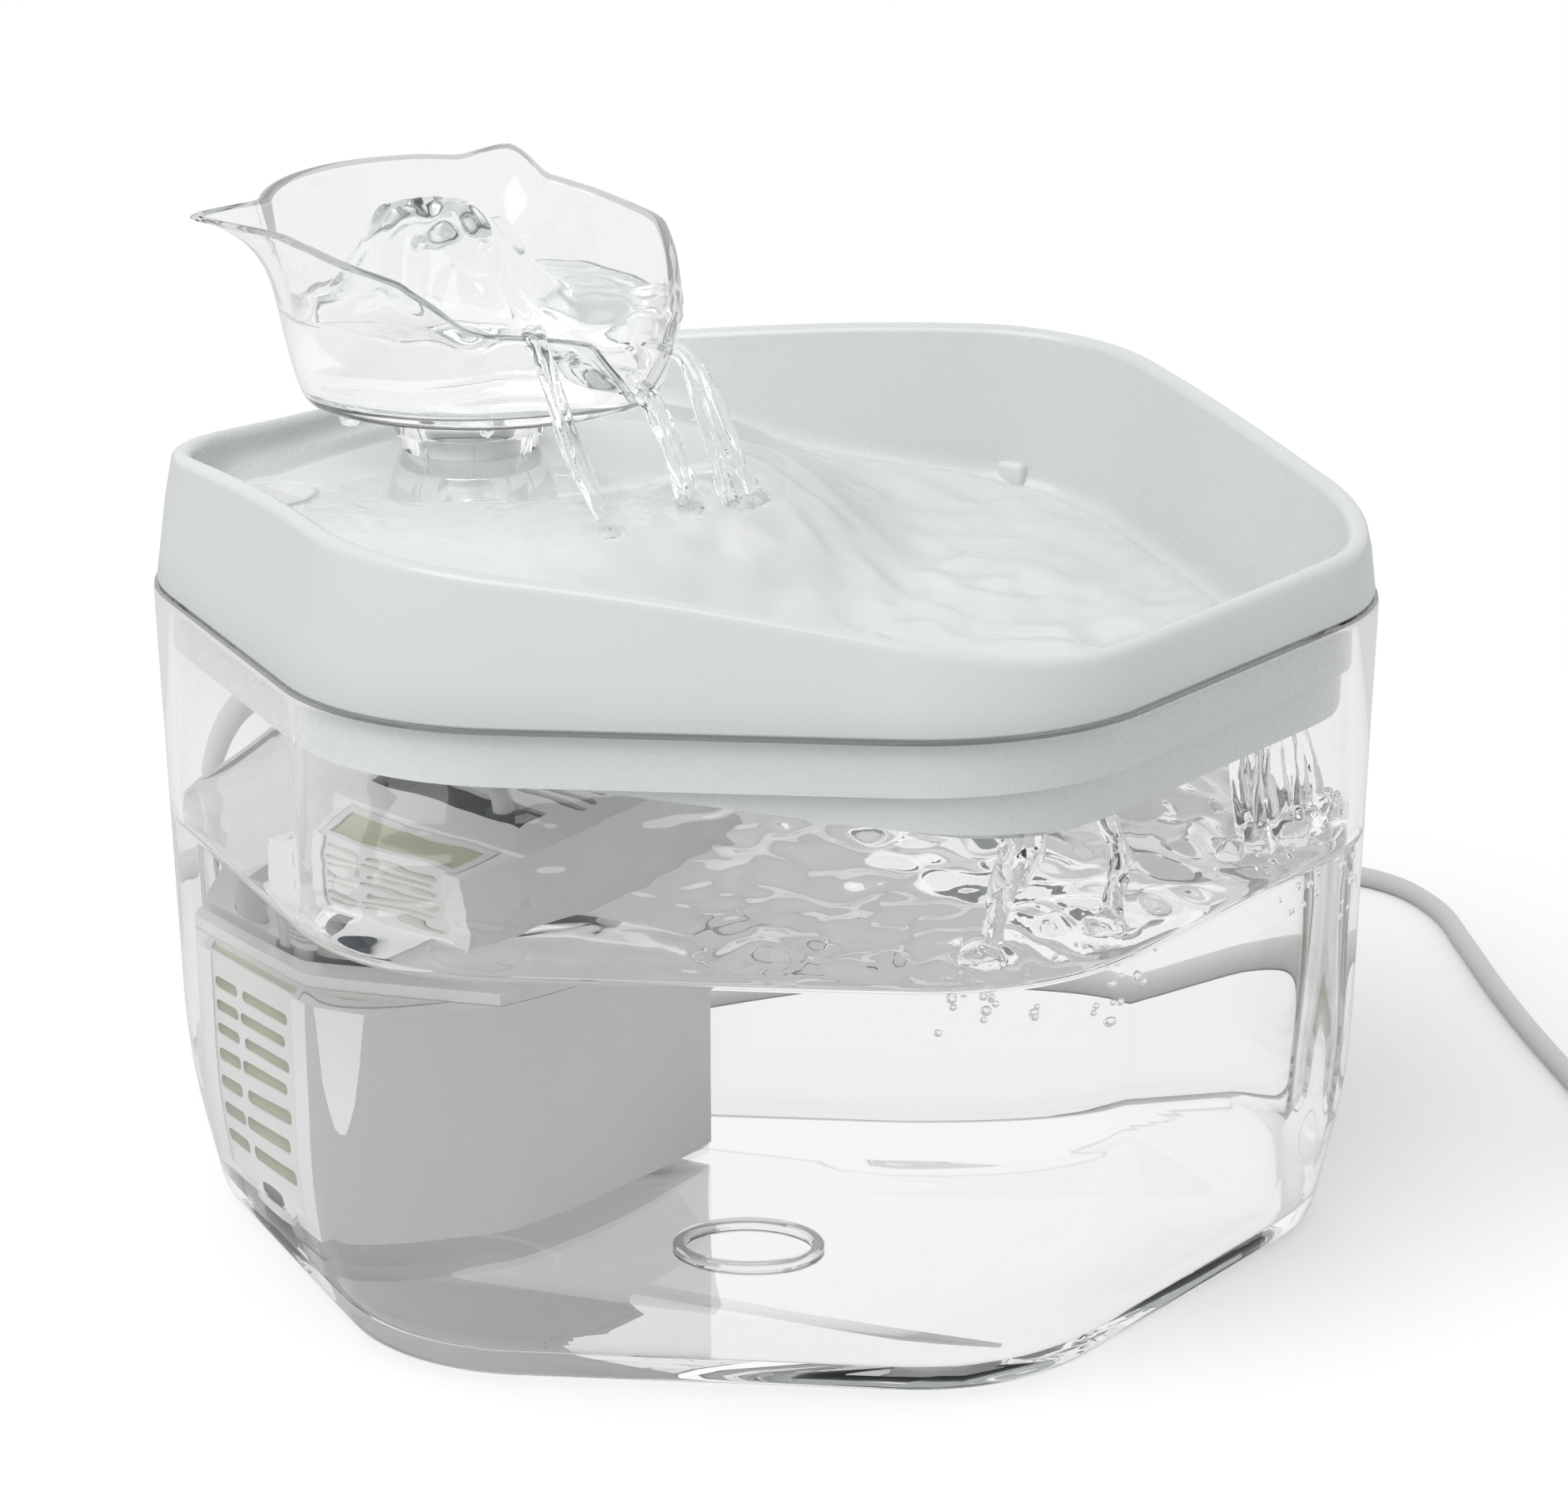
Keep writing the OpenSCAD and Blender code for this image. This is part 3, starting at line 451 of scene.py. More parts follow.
@dataclass(frozen=True)
class SheenPaintedWaterFinish:
    """Water that is part clear and part white, the white a painted reflection of the light, and all clear
    near the spout's foot.
    """

    name: str
    colour: tuple[float, float, float]
    clear: tuple[float, float] = (0.5, 0.7)
    still_r: float = 48.0
    still_w: float = 16.0
    still_z: float = 120.0
    shade: float = 0.9

    def build(self) -> bpy.types.Material:
        """Make the material.

        Returns:
            The new material.
        """
        n = Nodes(self.name)
        shader = n.add("ShaderNodeBsdfPrincipled")
        # painted reflection: the white base colour, shown where transmission is low, stands in for light
        # reflected off the shallow water
        shader.inputs["Base Color"].default_value = (*self.colour, 1)
        shader.inputs["IOR"].default_value = 1.333
        shader.inputs["Roughness"].default_value = 0.02
        patches = n.span(n.noise(40.0, 2.0).outputs["Fac"], *self.clear)
        place = n.add("ShaderNodeTexCoord")
        away = n.add("ShaderNodeVectorMath", operation="DISTANCE")
        away.inputs[1].default_value = (0, AXIS_Y * MM, self.still_z * MM)
        n.link(place.outputs["Object"], away.inputs[0])
        still = n.add("ShaderNodeMapRange")
        still.inputs["From Min"].default_value = self.still_r * MM
        still.inputs["From Max"].default_value = (self.still_r + self.still_w) * MM
        still.inputs["To Min"].default_value = 1.0
        still.inputs["To Max"].default_value = 0.0
        n.link(away.outputs["Value"], still.inputs["Value"])
        n.link(n.math("MAXIMUM", patches, still.outputs["Result"]), shader.inputs["Transmission Weight"])
        n.see_through(shader, self.shade)
        return n.material


class Finishes:
    """All finishes of the fountain, made once."""

    def __init__(self) -> None:
        """Build every material."""
        self.shell = ClearFinish("clear shell plastic", (0.985, 0.988, 0.985), 1.25).build()
        self.spout = ClearFinish("clear spout plastic", (0.985, 0.99, 0.99), 1.4).build()
        self.water = ClearFinish("drinking water", (0.995, 1.0, 1.0), 1.333).build()
        # painted reflection: the film on the tray is part white for the light it reflects
        self.film = SheenPaintedWaterFinish("lively shallow water", (0.93, 0.935, 0.935)).build()
        self.stream = ClearFinish("running water", (0.99, 1.0, 1.0), 1.333, mirrors=5.5, depth=11.5).build()
        # painted shade: a dark grey clear finish on the top band of the tank's rim stands in for the thin
        # dark shadow line at the seam under the tray
        self.shell_rim_shade = ClearFinish("shell rim painted shade", (0.2, 0.21, 0.21), 1.3, 0.1).build()
        # painted shade: a grey clear finish on the rounded top of the bowl's wall stands in for the dark edge
        # lines along its rim
        self.spout_rim_shade = ClearFinish("spout rim painted shade", (0.5, 0.52, 0.52), 1.3).build()
        self.bubble = ClearFinish("air bubble", (1, 1, 1), 0.75).build()
        self.tray = SolidFinish("pale grey tray plastic", (0.64, 0.675, 0.67), 0.012,
                                (0.25, 0.29), relief=0.004, scale=2400.0, coat=0.15).build()
        self.cap = SolidFinish("cap plastic", (0.70, 0.72, 0.715), 0.012, (0.3, 0.4)).build()
        self.riser = SolidFinish("riser plastic", (0.68, 0.70, 0.70), 0.02, (0.3, 0.4)).build()
        self.housing = SolidFinish("housing plastic", (0.94, 0.945, 0.94), 0.015, (0.35, 0.45)).build()
        self.cartridge = SolidFinish("cartridge plastic", (0.86, 0.86, 0.85), 0.01, (0.4, 0.5)).build()
        self.felt = SolidFinish("filter felt", (0.52, 0.53, 0.38), 0.22, (0.85, 0.95), Grain.FIBRES,
                                0.6, 700.0, sheen=0.3).build()
        self.pump = SolidFinish("black pump plastic", (0.035, 0.038, 0.042), 0.15, (0.35, 0.5)).build()
        self.rubber = SolidFinish("dark rubber", (0.045, 0.055, 0.07), 0.15, (0.5, 0.65)).build()
        self.silicone = SolidFinish("pale silicone", (0.78, 0.79, 0.785), 0.02, (0.4, 0.5)).build()
        self.foot = SolidFinish("grey foot rubber", (0.34, 0.35, 0.35), 0.03, (0.5, 0.6)).build()
        self.foam = SolidFinish("open foam", (0.06, 0.065, 0.07), 0.3, (0.85, 0.95), Grain.PORES,
                                1.0, 900.0).build()
        self.ferrite = SolidFinish("ground ferrite", (0.07, 0.07, 0.075), 0.15, (0.3, 0.45)).build()
        self.spigot = SolidFinish("pale spigot plastic", (0.86, 0.875, 0.87), 0.01, (0.25, 0.32)).build()
        self.core = SolidFinish("stacked core steel", (0.34, 0.35, 0.37), 0.1, (0.35, 0.5),
                                Grain.BRUSHED, 0.5, 1800.0, metallic=1.0).build()
        self.copper = SolidFinish("lacquered copper wire", (0.72, 0.33, 0.14), 0.12, (0.2, 0.32),
                                  Grain.BRUSHED, 0.6, 1500.0, metallic=1.0, coat=0.5).build()
        self.board = SolidFinish("green circuit board", (0.03, 0.19, 0.08), 0.15, (0.3, 0.42),
                                 relief=0.15).build()
        self.resin = SolidFinish("black potting resin", (0.015, 0.015, 0.017), 0.1, (0.08, 0.16),
                                 relief=0.05).build()
        self.ceramic = SolidFinish("polished ceramic", (0.86, 0.86, 0.82), 0.02, (0.08, 0.14)).build()
        self.cord = SolidFinish("cord jacket", (0.66, 0.67, 0.67), 0.02, (0.42, 0.52), relief=0.05).build()
        self.tie = SolidFinish("black tie", (0.02, 0.02, 0.022), 0.1, (0.35, 0.45)).build()
        self.plug = SolidFinish("plug plastic", (0.80, 0.80, 0.79), 0.015, (0.28, 0.36)).build()
        self.nickel = SolidFinish("nickel plate", (0.72, 0.72, 0.73), 0.04, (0.18, 0.32),
                                  Grain.BRUSHED, 0.12, 2600.0, metallic=1.0).build()


# ---------------------------------------------------------------- mesh helpers


def loop_of(bm: bmesh.types.BMesh, ring: Sequence[Vector]) -> list[bmesh.types.BMEdge]:
    """Add one closed loop of edges through the ring's points."""
    verts = [bm.verts.new(p) for p in ring]
    return [bm.edges.new((verts[i], verts[(i + 1) % len(verts)])) for i in range(len(verts))]


def loft(rings: Sequence[Ring], closed: bool = False) -> bmesh.types.BMesh:
    """Bridge a stack of rings into one skin, with its two ends filled.

    Args:
        rings: closed rings of equal length, in order.
        closed: join the last ring to the first in place of filling the ends.

    Returns:
        A closed mesh with its normals outwards.
    """
    bm = bmesh.new()
    loops = [loop_of(bm, ring) for ring in rings]
    pairs = list(zip(loops, loops[1:]))
    if closed:
        pairs.append((loops[-1], loops[0]))
    for a, b in pairs:
        bmesh.ops.bridge_loops(bm, edges=a + b)
    if not closed:
        for end in (loops[0], loops[-1]):
            bmesh.ops.edgeloop_fill(bm, edges=end)
    bmesh.ops.recalc_face_normals(bm, faces=bm.faces)
    return bm


def tube_along(path: Sequence[Vector], radius: Callable[[float], float], sides: int) -> bmesh.types.BMesh:
    """Round tube that follows a path, with rounded ends closed.

    Args:
        path: dense centre points.
        radius: radius at share 0..1 of the way.
        sides: corners of each ring.

    Returns:
        The closed tube.
    """
    rings = []
    side = Vector((1, 0, 0))
    for i, p in enumerate(path):
        t = (path[min(i + 1, len(path) - 1)] - path[max(i - 1, 0)]).normalized()
        side = (side - t * side.dot(t)).normalized()
        other = t.cross(side)
        r = radius(i / (len(path) - 1))
        rings.append([p + r * (math.cos(a) * side + math.sin(a) * other)
                      for a in (math.tau * k / sides for k in range(sides))])
    return loft(rings)


def finish_mesh(name: str, bm: bmesh.types.BMesh, material: bpy.types.Material,
                sharp: float = 40.0) -> bpy.types.Object:
    """Turn a bmesh in millimetres into a finished object at the origin.

    Args:
        name: the piece's name.
        bm: its mesh; freed here.
        material: its finish.
        sharp: edges folded by more degrees than this stay crisp.

    Returns:
        The new object.
    """
    bmesh.ops.scale(bm, vec=(MM, MM, MM), verts=bm.verts)
    for face in bm.faces:
        face.smooth = True
    for edge in bm.edges:
        edge.smooth = len(edge.link_faces) != 2 or edge.calc_face_angle(0.0) < math.radians(sharp)
    mesh = bpy.data.meshes.new(name)
    bm.to_mesh(mesh)
    bm.free()
    mesh.materials.append(material)
    obj = bpy.data.objects.new(name, mesh)
    bpy.context.scene.collection.objects.link(obj)
    return obj


def cut_away(obj: bpy.types.Object, cutter: bmesh.types.BMesh) -> None:
    """Take a cutter's volume out of a finished piece.

    Args:
        obj: the piece, changed in place.
        cutter: closed mesh in millimetres; freed here.
    """
    tool = finish_mesh("cutter", cutter, obj.data.materials[0])
    step = obj.modifiers.new("cut", "BOOLEAN")
    step.operation = "DIFFERENCE"
    step.solver = "EXACT"
    step.object = tool
    keep_result(obj)
    bpy.data.objects.remove(tool)


def keep_result(obj: bpy.types.Object) -> None:
    """Replace a piece's mesh by the result of its modifiers.

    Args:
        obj: the piece, changed in place.
    """
    bpy.context.view_layer.update()
    graph = bpy.context.evaluated_depsgraph_get()
    made = bpy.data.meshes.new_from_object(obj.evaluated_get(graph))
    obj.modifiers.clear()
    old = obj.data
    obj.data = made
    made.name = obj.name
    bpy.data.meshes.remove(old)


def finish_where(obj: bpy.types.Object, material: bpy.types.Material,
                 pick: Callable[[Vector], bool]) -> None:
    """Give some faces of a modelled piece a second finish. A CAD node keeps its one finish.

    Args:
        obj: the piece.
        material: the second finish.
        pick: True for the middle, in millimetres, of each face that takes it.
    """
    obj.data.materials.append(material)
    last = len(obj.data.materials) - 1
    for face in obj.data.polygons:
        if pick(face.center / MM):
            face.material_index = last


def dress(obj: bpy.types.Object, material: bpy.types.Material) -> None:
    """Give a CAD node its finish.

    Args:
        obj: the node; its shape stays as it is.
        material: the finish.
    """
    obj.data.materials.clear()
    obj.data.materials.append(material)
    LOG.info("node %s in %s", obj.name, material.name)


def spun(section: Sequence[tuple[float, float]]) -> bmesh.types.BMesh:
    """Ring spun from its section round the upright axis.

    Args:
        section: radius and height of its corners, in order.

    Returns:
        The closed ring.
    """
    bm = bmesh.new()
    edges = loop_of(bm, [Vector((r, 0, z)) for r, z in section])
    bmesh.ops.spin(bm, geom=bm.verts[:] + edges, cent=(0, 0, 0), axis=(0, 0, 1),
                   angle=math.tau, steps=96, use_merge=True)
    bmesh.ops.remove_doubles(bm, verts=bm.verts, dist=1e-4)
    bmesh.ops.recalc_face_normals(bm, faces=bm.faces)
    return bm


def round_cutter(at: Sequence[float], r: float, low: float, height: float) -> bmesh.types.BMesh:
    """Upright round cutter.

    Args:
        at: its place in plan.
        r: its radius.
        low: height at which it starts.
        height: how far it goes up.

    Returns:
        The closed cutter.
    """
    bm = bmesh.new()
    bmesh.ops.create_cone(bm, cap_ends=True, segments=64, radius1=r, radius2=r, depth=height)
    bmesh.ops.translate(bm, verts=bm.verts, vec=(at[0], at[1], low + height / 2))
    return bm


def moved_verts(grown: dict) -> list[bmesh.types.BMVert]:
    """New vertices in the result of an extrusion."""
    return [g for g in grown["geom"] if isinstance(g, bmesh.types.BMVert)]


# ---------------------------------------------------------------- shared outline


@dataclass(frozen=True)
class HexOutline:
    """A regular hexagon with round corners, its corners along +X and -X."""

    across_corners: float = 200.0
    corner_r: float = 41.0
    least_r: float = 6.0
    arc_steps: int = 14
    flat_steps: int = 8

    @property
    def secant(self) -> float:
        """Ratio of corner distance to flat distance."""
        return 2 / math.sqrt(3)

    @property
    def vertex_r(self) -> float:
        """Distance of the sharp corners."""
        return self.across_corners / 2 + (self.secant - 1) * self.corner_r

    @property
    def apothem(self) -> float:
        """Distance of the flats."""
        return self.vertex_r * math.cos(math.pi / 6)

    @property
    def count(self) -> int:
        """Points in one ring."""
        return 6 * (self.arc_steps + self.flat_steps)

    def point(self, k: int, inset: float) -> Vector:
        """Point of the outline.

        Args:
            k: its number, counted round from the corner on +X.
            inset: how far every side moves in.

        Returns:
            The point at height 0.
        """
        per = self.arc_steps + self.flat_steps
        side, j = divmod(k % self.count, per)
        r = max(self.corner_r - inset, self.least_r)
        centre_d = self.vertex_r - inset * self.secant - r * self.secant
        a = math.radians(60 * side)

        def polar(d: float, angle: float) -> Vector:
            """Point at distance d and an angle."""
            return Vector((d * math.cos(angle), d * math.sin(angle), 0))

        half = math.radians(30)
        c = polar(centre_d, a)
        if j <= self.arc_steps:
            return c + polar(r, a - half + 2 * half * j / self.arc_steps)
        start = c + polar(r, a + half)
        end = polar(centre_d, a + 2 * half) + polar(r, a + half)
        return start.lerp(end, (j - self.arc_steps) / self.flat_steps)

    def ring(self, inset: float, z: float) -> Ring:
        """Level ring at one inset and height."""
        return [Vector((p.x, p.y, z)) for p in (self.point(k, inset) for k in range(self.count))]


HEX = HexOutline()
FINE = HexOutline(arc_steps=26, flat_steps=34)


# ---------------------------------------------------------------- tank


@dataclass
class Tank:
    """The clear six-sided tank: drafted walls, a turned-in base and a low ring on its floor."""

    wall: float = 2.6
    floor_z: float = 3.6
    base_z: float = 0.6
    base_inset: float = 8.5
    knee_inset: float = 2.7
    knee_z: float = 25.6
    bend_z: float = 37.0
    heel_inset: float = 5.2
    heel_z: float = 15.0
    band: float = 25.0
    # height of the band of painted shade at the top of the rim
    rim_shade_depth: float = 0.6
    ring_in: float = 10.5
    ring_out: float = 12.5
    ring_h: float = 0.8
    foot_r: float = 9.0
    foot_place: float = 68.0
    foot_turns: tuple[int, ...] = (60, 120, 240, 300)
    notch_w: float = 6.0
    notch_l: float = 16.0
    notch_h: float = 12.0
    cord_z: float = 101.5

    @property
    def draft(self) -> float:
        """Inset that the wall gains for each millimetre down to the knee."""
        return self.knee_inset / (SEAM_Z - self.knee_z)

    def outside(self) -> list[tuple[float, float]]:
        """Section of the outer wall.

        Returns:
            Inset and height of each ring, from the rim down to the base.
        """
        upper = (self.draft * (SEAM_Z - self.bend_z), self.bend_z)
        wall = bezier(upper, (self.knee_inset, self.knee_z), (self.heel_inset, self.heel_z), 10)
        base = bezier((self.base_inset - 0.8, 4), (self.base_inset, self.base_z),
                      (self.base_inset + 3, self.base_z), 6)
        top = [(0.5, SEAM_Z), (0.12, SEAM_Z - 0.4), (0.0, SEAM_Z - 1.2),
               (self.draft * self.band, SEAM_Z - self.band)]
        return top + wall + base

    def inside(self) -> list[tuple[float, float]]:
        """Section of the inner wall.

        Returns:
            Inset and height of each ring, from the floor up to the rim.
        """
        upper = (self.draft * (SEAM_Z - self.bend_z) + self.wall, self.bend_z + 1)
        cove = bezier((self.base_inset + 9, self.floor_z), (self.base_inset + 3.4, self.floor_z),
                      (self.base_inset + 1.2, self.floor_z + 4.6), 7)
        wall = bezier((self.heel_inset + self.wall, self.heel_z + 1),
                      (self.knee_inset + self.wall, self.knee_z + 0.6), upper, 10)
        top = [(self.draft * self.band + self.wall, SEAM_Z - self.band), (self.wall, SEAM_Z - 1.2),
               (self.wall - 0.12, SEAM_Z - 0.4), (self.wall - 0.5, SEAM_Z)]
        return cove + wall + top

    def inset_at(self, z: float) -> float:
        """Inset of the inner wall at a height.

        Args:
            z: the height.

        Returns:
            The inset, between those of the two nearest rings.
        """
        profile = self.inside()
        for (t0, z0), (t1, z1) in zip(profile, profile[1:]):
            if z0 <= z <= z1:
                return mix(t0, t1, (z - z0) / max(z1 - z0, 1e-6))
        return profile[-1][0]

    def build(self, looks: Finishes) -> None:
        """Make the shell and its floor ring, and dress the feet.

        Args:
            looks: the finishes.
        """
        rings = [HEX.ring(t, z) for t, z in self.inside() + self.outside()]
        shell = finish_mesh("tank_shell", loft(rings), looks.shell)
        cut_away(shell, self.cord_notch())
        for turn in self.foot_turns:
            cut_away(shell, self.foot_recess(turn))
        # painted shade: faces on the top band of the rim take the dark finish of the seam's shadow line
        finish_where(shell, looks.shell_rim_shade, lambda p: p.z > SEAM_Z - self.rim_shade_depth)
        ride(shell, "tank", "clear_shell", "tank")
        rib = finish_mesh("tank_floor_ring", self.floor_ring(), looks.shell)
        ride(rib, "tank", "clear_shell")
        dress(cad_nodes()["tank_feet"], looks.foot)
        LOG.info("tank shell with %d rings", len(rings))

    def cord_notch(self) -> bmesh.types.BMesh:
        """Cutter for the open slot where the lead crosses the rim.

        Returns:
            The closed cutter, with a round bottom and straight sides.
        """
        bm = bmesh.new()
        bmesh.ops.create_cone(bm, cap_ends=True, segments=32, radius1=self.notch_w / 2,
                              radius2=self.notch_w / 2, depth=self.notch_l,
                              matrix=Matrix.Rotation(math.pi / 2, 4, "X"))
        cut = bmesh.ops.bisect_plane(bm, geom=bm.verts[:] + bm.edges[:] + bm.faces[:],
                                     plane_co=(0, 0, 0), plane_no=(0, 0, 1), clear_outer=True)
        rim = [g for g in cut["geom_cut"] if isinstance(g, bmesh.types.BMEdge)]
        grown = bmesh.ops.extrude_edge_only(bm, edges=rim)
        verts = moved_verts(grown)
        bmesh.ops.translate(bm, verts=verts, vec=(0, 0, self.notch_h))
        edges = [g for g in grown["geom"] if isinstance(g, bmesh.types.BMEdge)
                 and all(v in verts for v in g.verts)]
        bmesh.ops.edgeloop_fill(bm, edges=edges)
        bmesh.ops.recalc_face_normals(bm, faces=bm.faces)
        bmesh.ops.translate(bm, verts=bm.verts, vec=(CORD_X, HEX.apothem, self.cord_z))
        return bm

    def foot_recess(self, degrees: float) -> bmesh.types.BMesh:
        """Cutter for one foot's recess, 1 mm deep.

        Args:
            degrees: turn of the foot from +X.

        Returns:
            The closed cutter.
        """
        a = math.radians(degrees)
        at = (self.foot_place * math.cos(a), self.foot_place * math.sin(a))
        return round_cutter(at, self.foot_r + 0.2, self.base_z - 3, 4)

    def floor_ring(self) -> bmesh.types.BMesh:
        """Raised ring in the middle of the floor.

        Returns:
            The closed ring, its foot sunk into the floor and its top edges broken.
        """
        foot, top, soft = self.floor_z - 0.3, self.floor_z + self.ring_h, 0.3
        return spun([(self.ring_in, foot), (self.ring_out, foot), (self.ring_out, top - soft),
                     (self.ring_out - soft, top), (self.ring_in + soft, top), (self.ring_in, top - soft)])


# ---------------------------------------------------------------- tray


@dataclass
class DrinkingTray:
    """The pale tray: wavy rim, sloped pool floor and a raised platform round the spout."""

    outline: HexOutline = HEX
    rim_front: float = 10.0
    rim_high: float = 25.0
    rim_back: float = 18.5
    low_turn: float = 28.0
    high_turn: float = 105.0
    lean: float = 0.16
    lip: float = 3.6
    pool_z: float = 102.4
    pool_slope: float = 0.157
    platform_z: float = 120.8
    platform_r: float = 75.0
    platform_fall: float = 37.0
    floor_t: float = 1.7
    skirt_h: float = 9.2
    skirt_t: float = 2.1
    skirt_in: float = 3.1
    gap: float = 0.6
    spigot_r: float = 8.4
    cap_at: tuple[float, float] = (-43.0, 66.0)
    cap_r: float = 6.3
    drain_y: float = -73.0
    drains: int = 5
    drain_span: float = 84.0
    drain_half: float = 4.2
    drain_r: float = 1.8
    gap_w: float = 8.0
    gap_l: float = 10.0
    gap_z: float = 90.0
    tab: tuple[float, float, float] = (6.8, 5.8, 6.8)
    tab_at: tuple[float, float] = (90.6, 10.0)
    steps: tuple[float, ...] = (0.1, 0.2, 0.3, 0.4, 0.48, 0.56, 0.64, 0.72, 0.8, 0.88, 0.95, 1.0)

    def rim_height(self, p: Vector) -> float:
        """Height of the rim above the seam.

        Args:
            p: a point of the outline.

        Returns:
            The height: low at the front, highest just past the sides and lower again at the back.
        """
        angle = abs(math.degrees(math.atan2(p.x, -p.y)))
        s = (angle - self.low_turn) / (self.high_turn - self.low_turn)
        rise = (s + math.sqrt(s * s + 0.0036)) / 2
        if angle < self.high_turn:
            return self.rim_front + (self.rim_high - self.rim_front) * (1 - max(1 - rise, 0) ** 1.7)
        turn = (1 + math.cos(math.pi * (angle - self.high_turn) / (180 - self.high_turn))) / 2
        return self.rim_back + (self.rim_high - self.rim_back) * turn

    def floor_height(self, p: Vector) -> float:
        """Height of the tray's floor.

        Args:
            p: a point in plan.

        Returns:
            The height of the sloped pool, raised to the platform near the spout.
        """
        plane = self.pool_z + self.pool_slope * p.y
        d = math.hypot(p.x, p.y - BOWL_Y)
        return plane + smooth((self.platform_r - d) / self.platform_fall) * (self.platform_z - plane)

    def edge(self, k: int) -> tuple[float, float, float]:
        """Place where the floor meets the wall.

        Args:
            k: number of the outline's point.

        Returns:
            Inset, height of the floor and size of the fillet.
        """
        h = self.rim_height(self.outline.point(k, 0))
        z = self.floor_height(self.outline.point(k, self.lean * h + 7))
        fillet = min(4.0, 0.45 * (SEAM_Z + h - z))
        return self.inner_inset(h, z + fillet), z, fillet

    def inner_inset(self, h: float, z: float) -> float:
        """Inset of the inner wall at a height, below a rim of height h."""
        return self.lean * h + self.lip + 0.1 * (SEAM_Z + h - 1.6 - z)

    def floor_ring(self, share: float, drop: float) -> Ring:
        """Ring on the floor.

        Args:
            share: how far out, from 0 in the middle to 1 at the fillet.
            drop: how far below the floor's top.

        Returns:
            The ring.
        """
        out = []
        for k in range(self.outline.count):
            q = self.outline.point(k, self.edge(k)[0] + 2.6) * share
            out.append(Vector((q.x, q.y, self.floor_height(q) - drop)))
        return out

    def around(self, place: Callable[[int, float], tuple[float, float]]) -> Ring:
        """Ring whose inset and height follow the rim's own height.

        Args:
            place: inset and height for a point's number and the rim's height there.

        Returns:
            The ring.
        """
        out = []
        for k in range(self.outline.count):
            t, z = place(k, self.rim_height(self.outline.point(k, 0)))
            q = self.outline.point(k, t)
            out.append(Vector((q.x, q.y, z)))
        return out

    def rings(self) -> list[Ring]:
        """Rings of the whole basin.

        Returns:
            Rings from the middle of the floor, over the rim and back underneath.
        """
        out = [self.floor_ring(f, 0) for f in self.steps]
        edges = [self.edge(k) for k in range(self.outline.count)]
        for inward, rise in ((1.7, 0.08), (0.85, 0.3), (0.3, 0.62), (0.0, 1.0)):
            out.append(self.around(lambda k, h: (edges[k][0] + inward, edges[k][1] + rise * edges[k][2])))
        lip = [(1.0, 1.6), (0.95, 1.0), (0.83, 0.5), (0.67, 0.15), (0.5, 0.0), (0.33, 0.15),
               (0.17, 0.5), (0.06, 1.0), (0.02, 1.8)]
        for across, drop in lip:
            out.append(self.around(lambda k, h: (self.lean * h + across * self.lip, SEAM_Z + h - drop)))
        for share in (0.66, 0.33):
            out.append(self.around(lambda k, h: (mix(self.gap, self.lean * h, share),
                                                 mix(SEAM_Z + 0.7, SEAM_Z + h, share))))
        hem = [(self.gap, 0.7), (self.gap + 0.2, 0.3), (self.gap + 0.7, 0.1), (self.skirt_in, 0.1),
               (self.skirt_in + 0.2, -self.skirt_h), (self.skirt_in + self.skirt_t, -self.skirt_h)]
        for inset, rise in hem:
            out.append(self.around(lambda k, h: (inset, SEAM_Z + rise)))
        out.append(self.around(lambda k, h: self.under_edge(edges[k])))
        out.extend(self.floor_ring(f, self.floor_t) for f in reversed(self.steps))
        return out

    def under_edge(self, edge: tuple[float, float, float]) -> tuple[float, float]:
        """Place where the underside meets the skirt.

        Args:
            edge: inset, floor height and fillet of the same point, as edge() gives them.

        Returns:
            Inset and height.
        """
        under = edge[1] - self.floor_t
        gap = SEAM_Z - self.skirt_h - under
        return self.skirt_in + self.skirt_t + 0.4, under + min(max(gap / 4, -2.4), 2.4)

    def build(self, looks: Finishes) -> None:
        """Make the tray with its drains, boss and tabs, and dress what sits in it.

        Args:
            looks: the finishes.
        """
        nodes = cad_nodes()
        tray = finish_mesh("tray_basin", loft(self.rings()), looks.tray, 50)
        for i in range(self.drains):
            cut_away(tray, self.drain_slot(self.drain_span * (i / (self.drains - 1) - 0.5)))
        cut_away(tray, round_cutter(self.cap_at, self.cap_r + 0.3, self.platform_z - 1.4, 20))
        cut_away(tray, round_cutter(self.cap_at, self.cap_r - 0.9, 100, 40))
        cut_away(tray, round_cutter((0, AXIS_Y), self.spigot_r + 0.02, 90, 40))
        cut_away(tray, self.cord_gap())
        ride(tray, "tray", "tray_grey", "tray")
        ride(finish_mesh("tray_boss", self.boss(), looks.tray), "tray", "tray_grey")
        for side in (-1, 1):
            tab = finish_mesh(f"tray_tab_{'left' if side < 0 else 'right'}", self.level_tab(side), looks.cap)
            ride(tab, "tray", "cap_white")
        dress(nodes["tray_cap"], looks.cap)
        dress(nodes["spout_spigot"], looks.spigot)
        dress(nodes["spout_seal"], looks.silicone)
        LOG.info("tray with %d drain slots", self.drains)

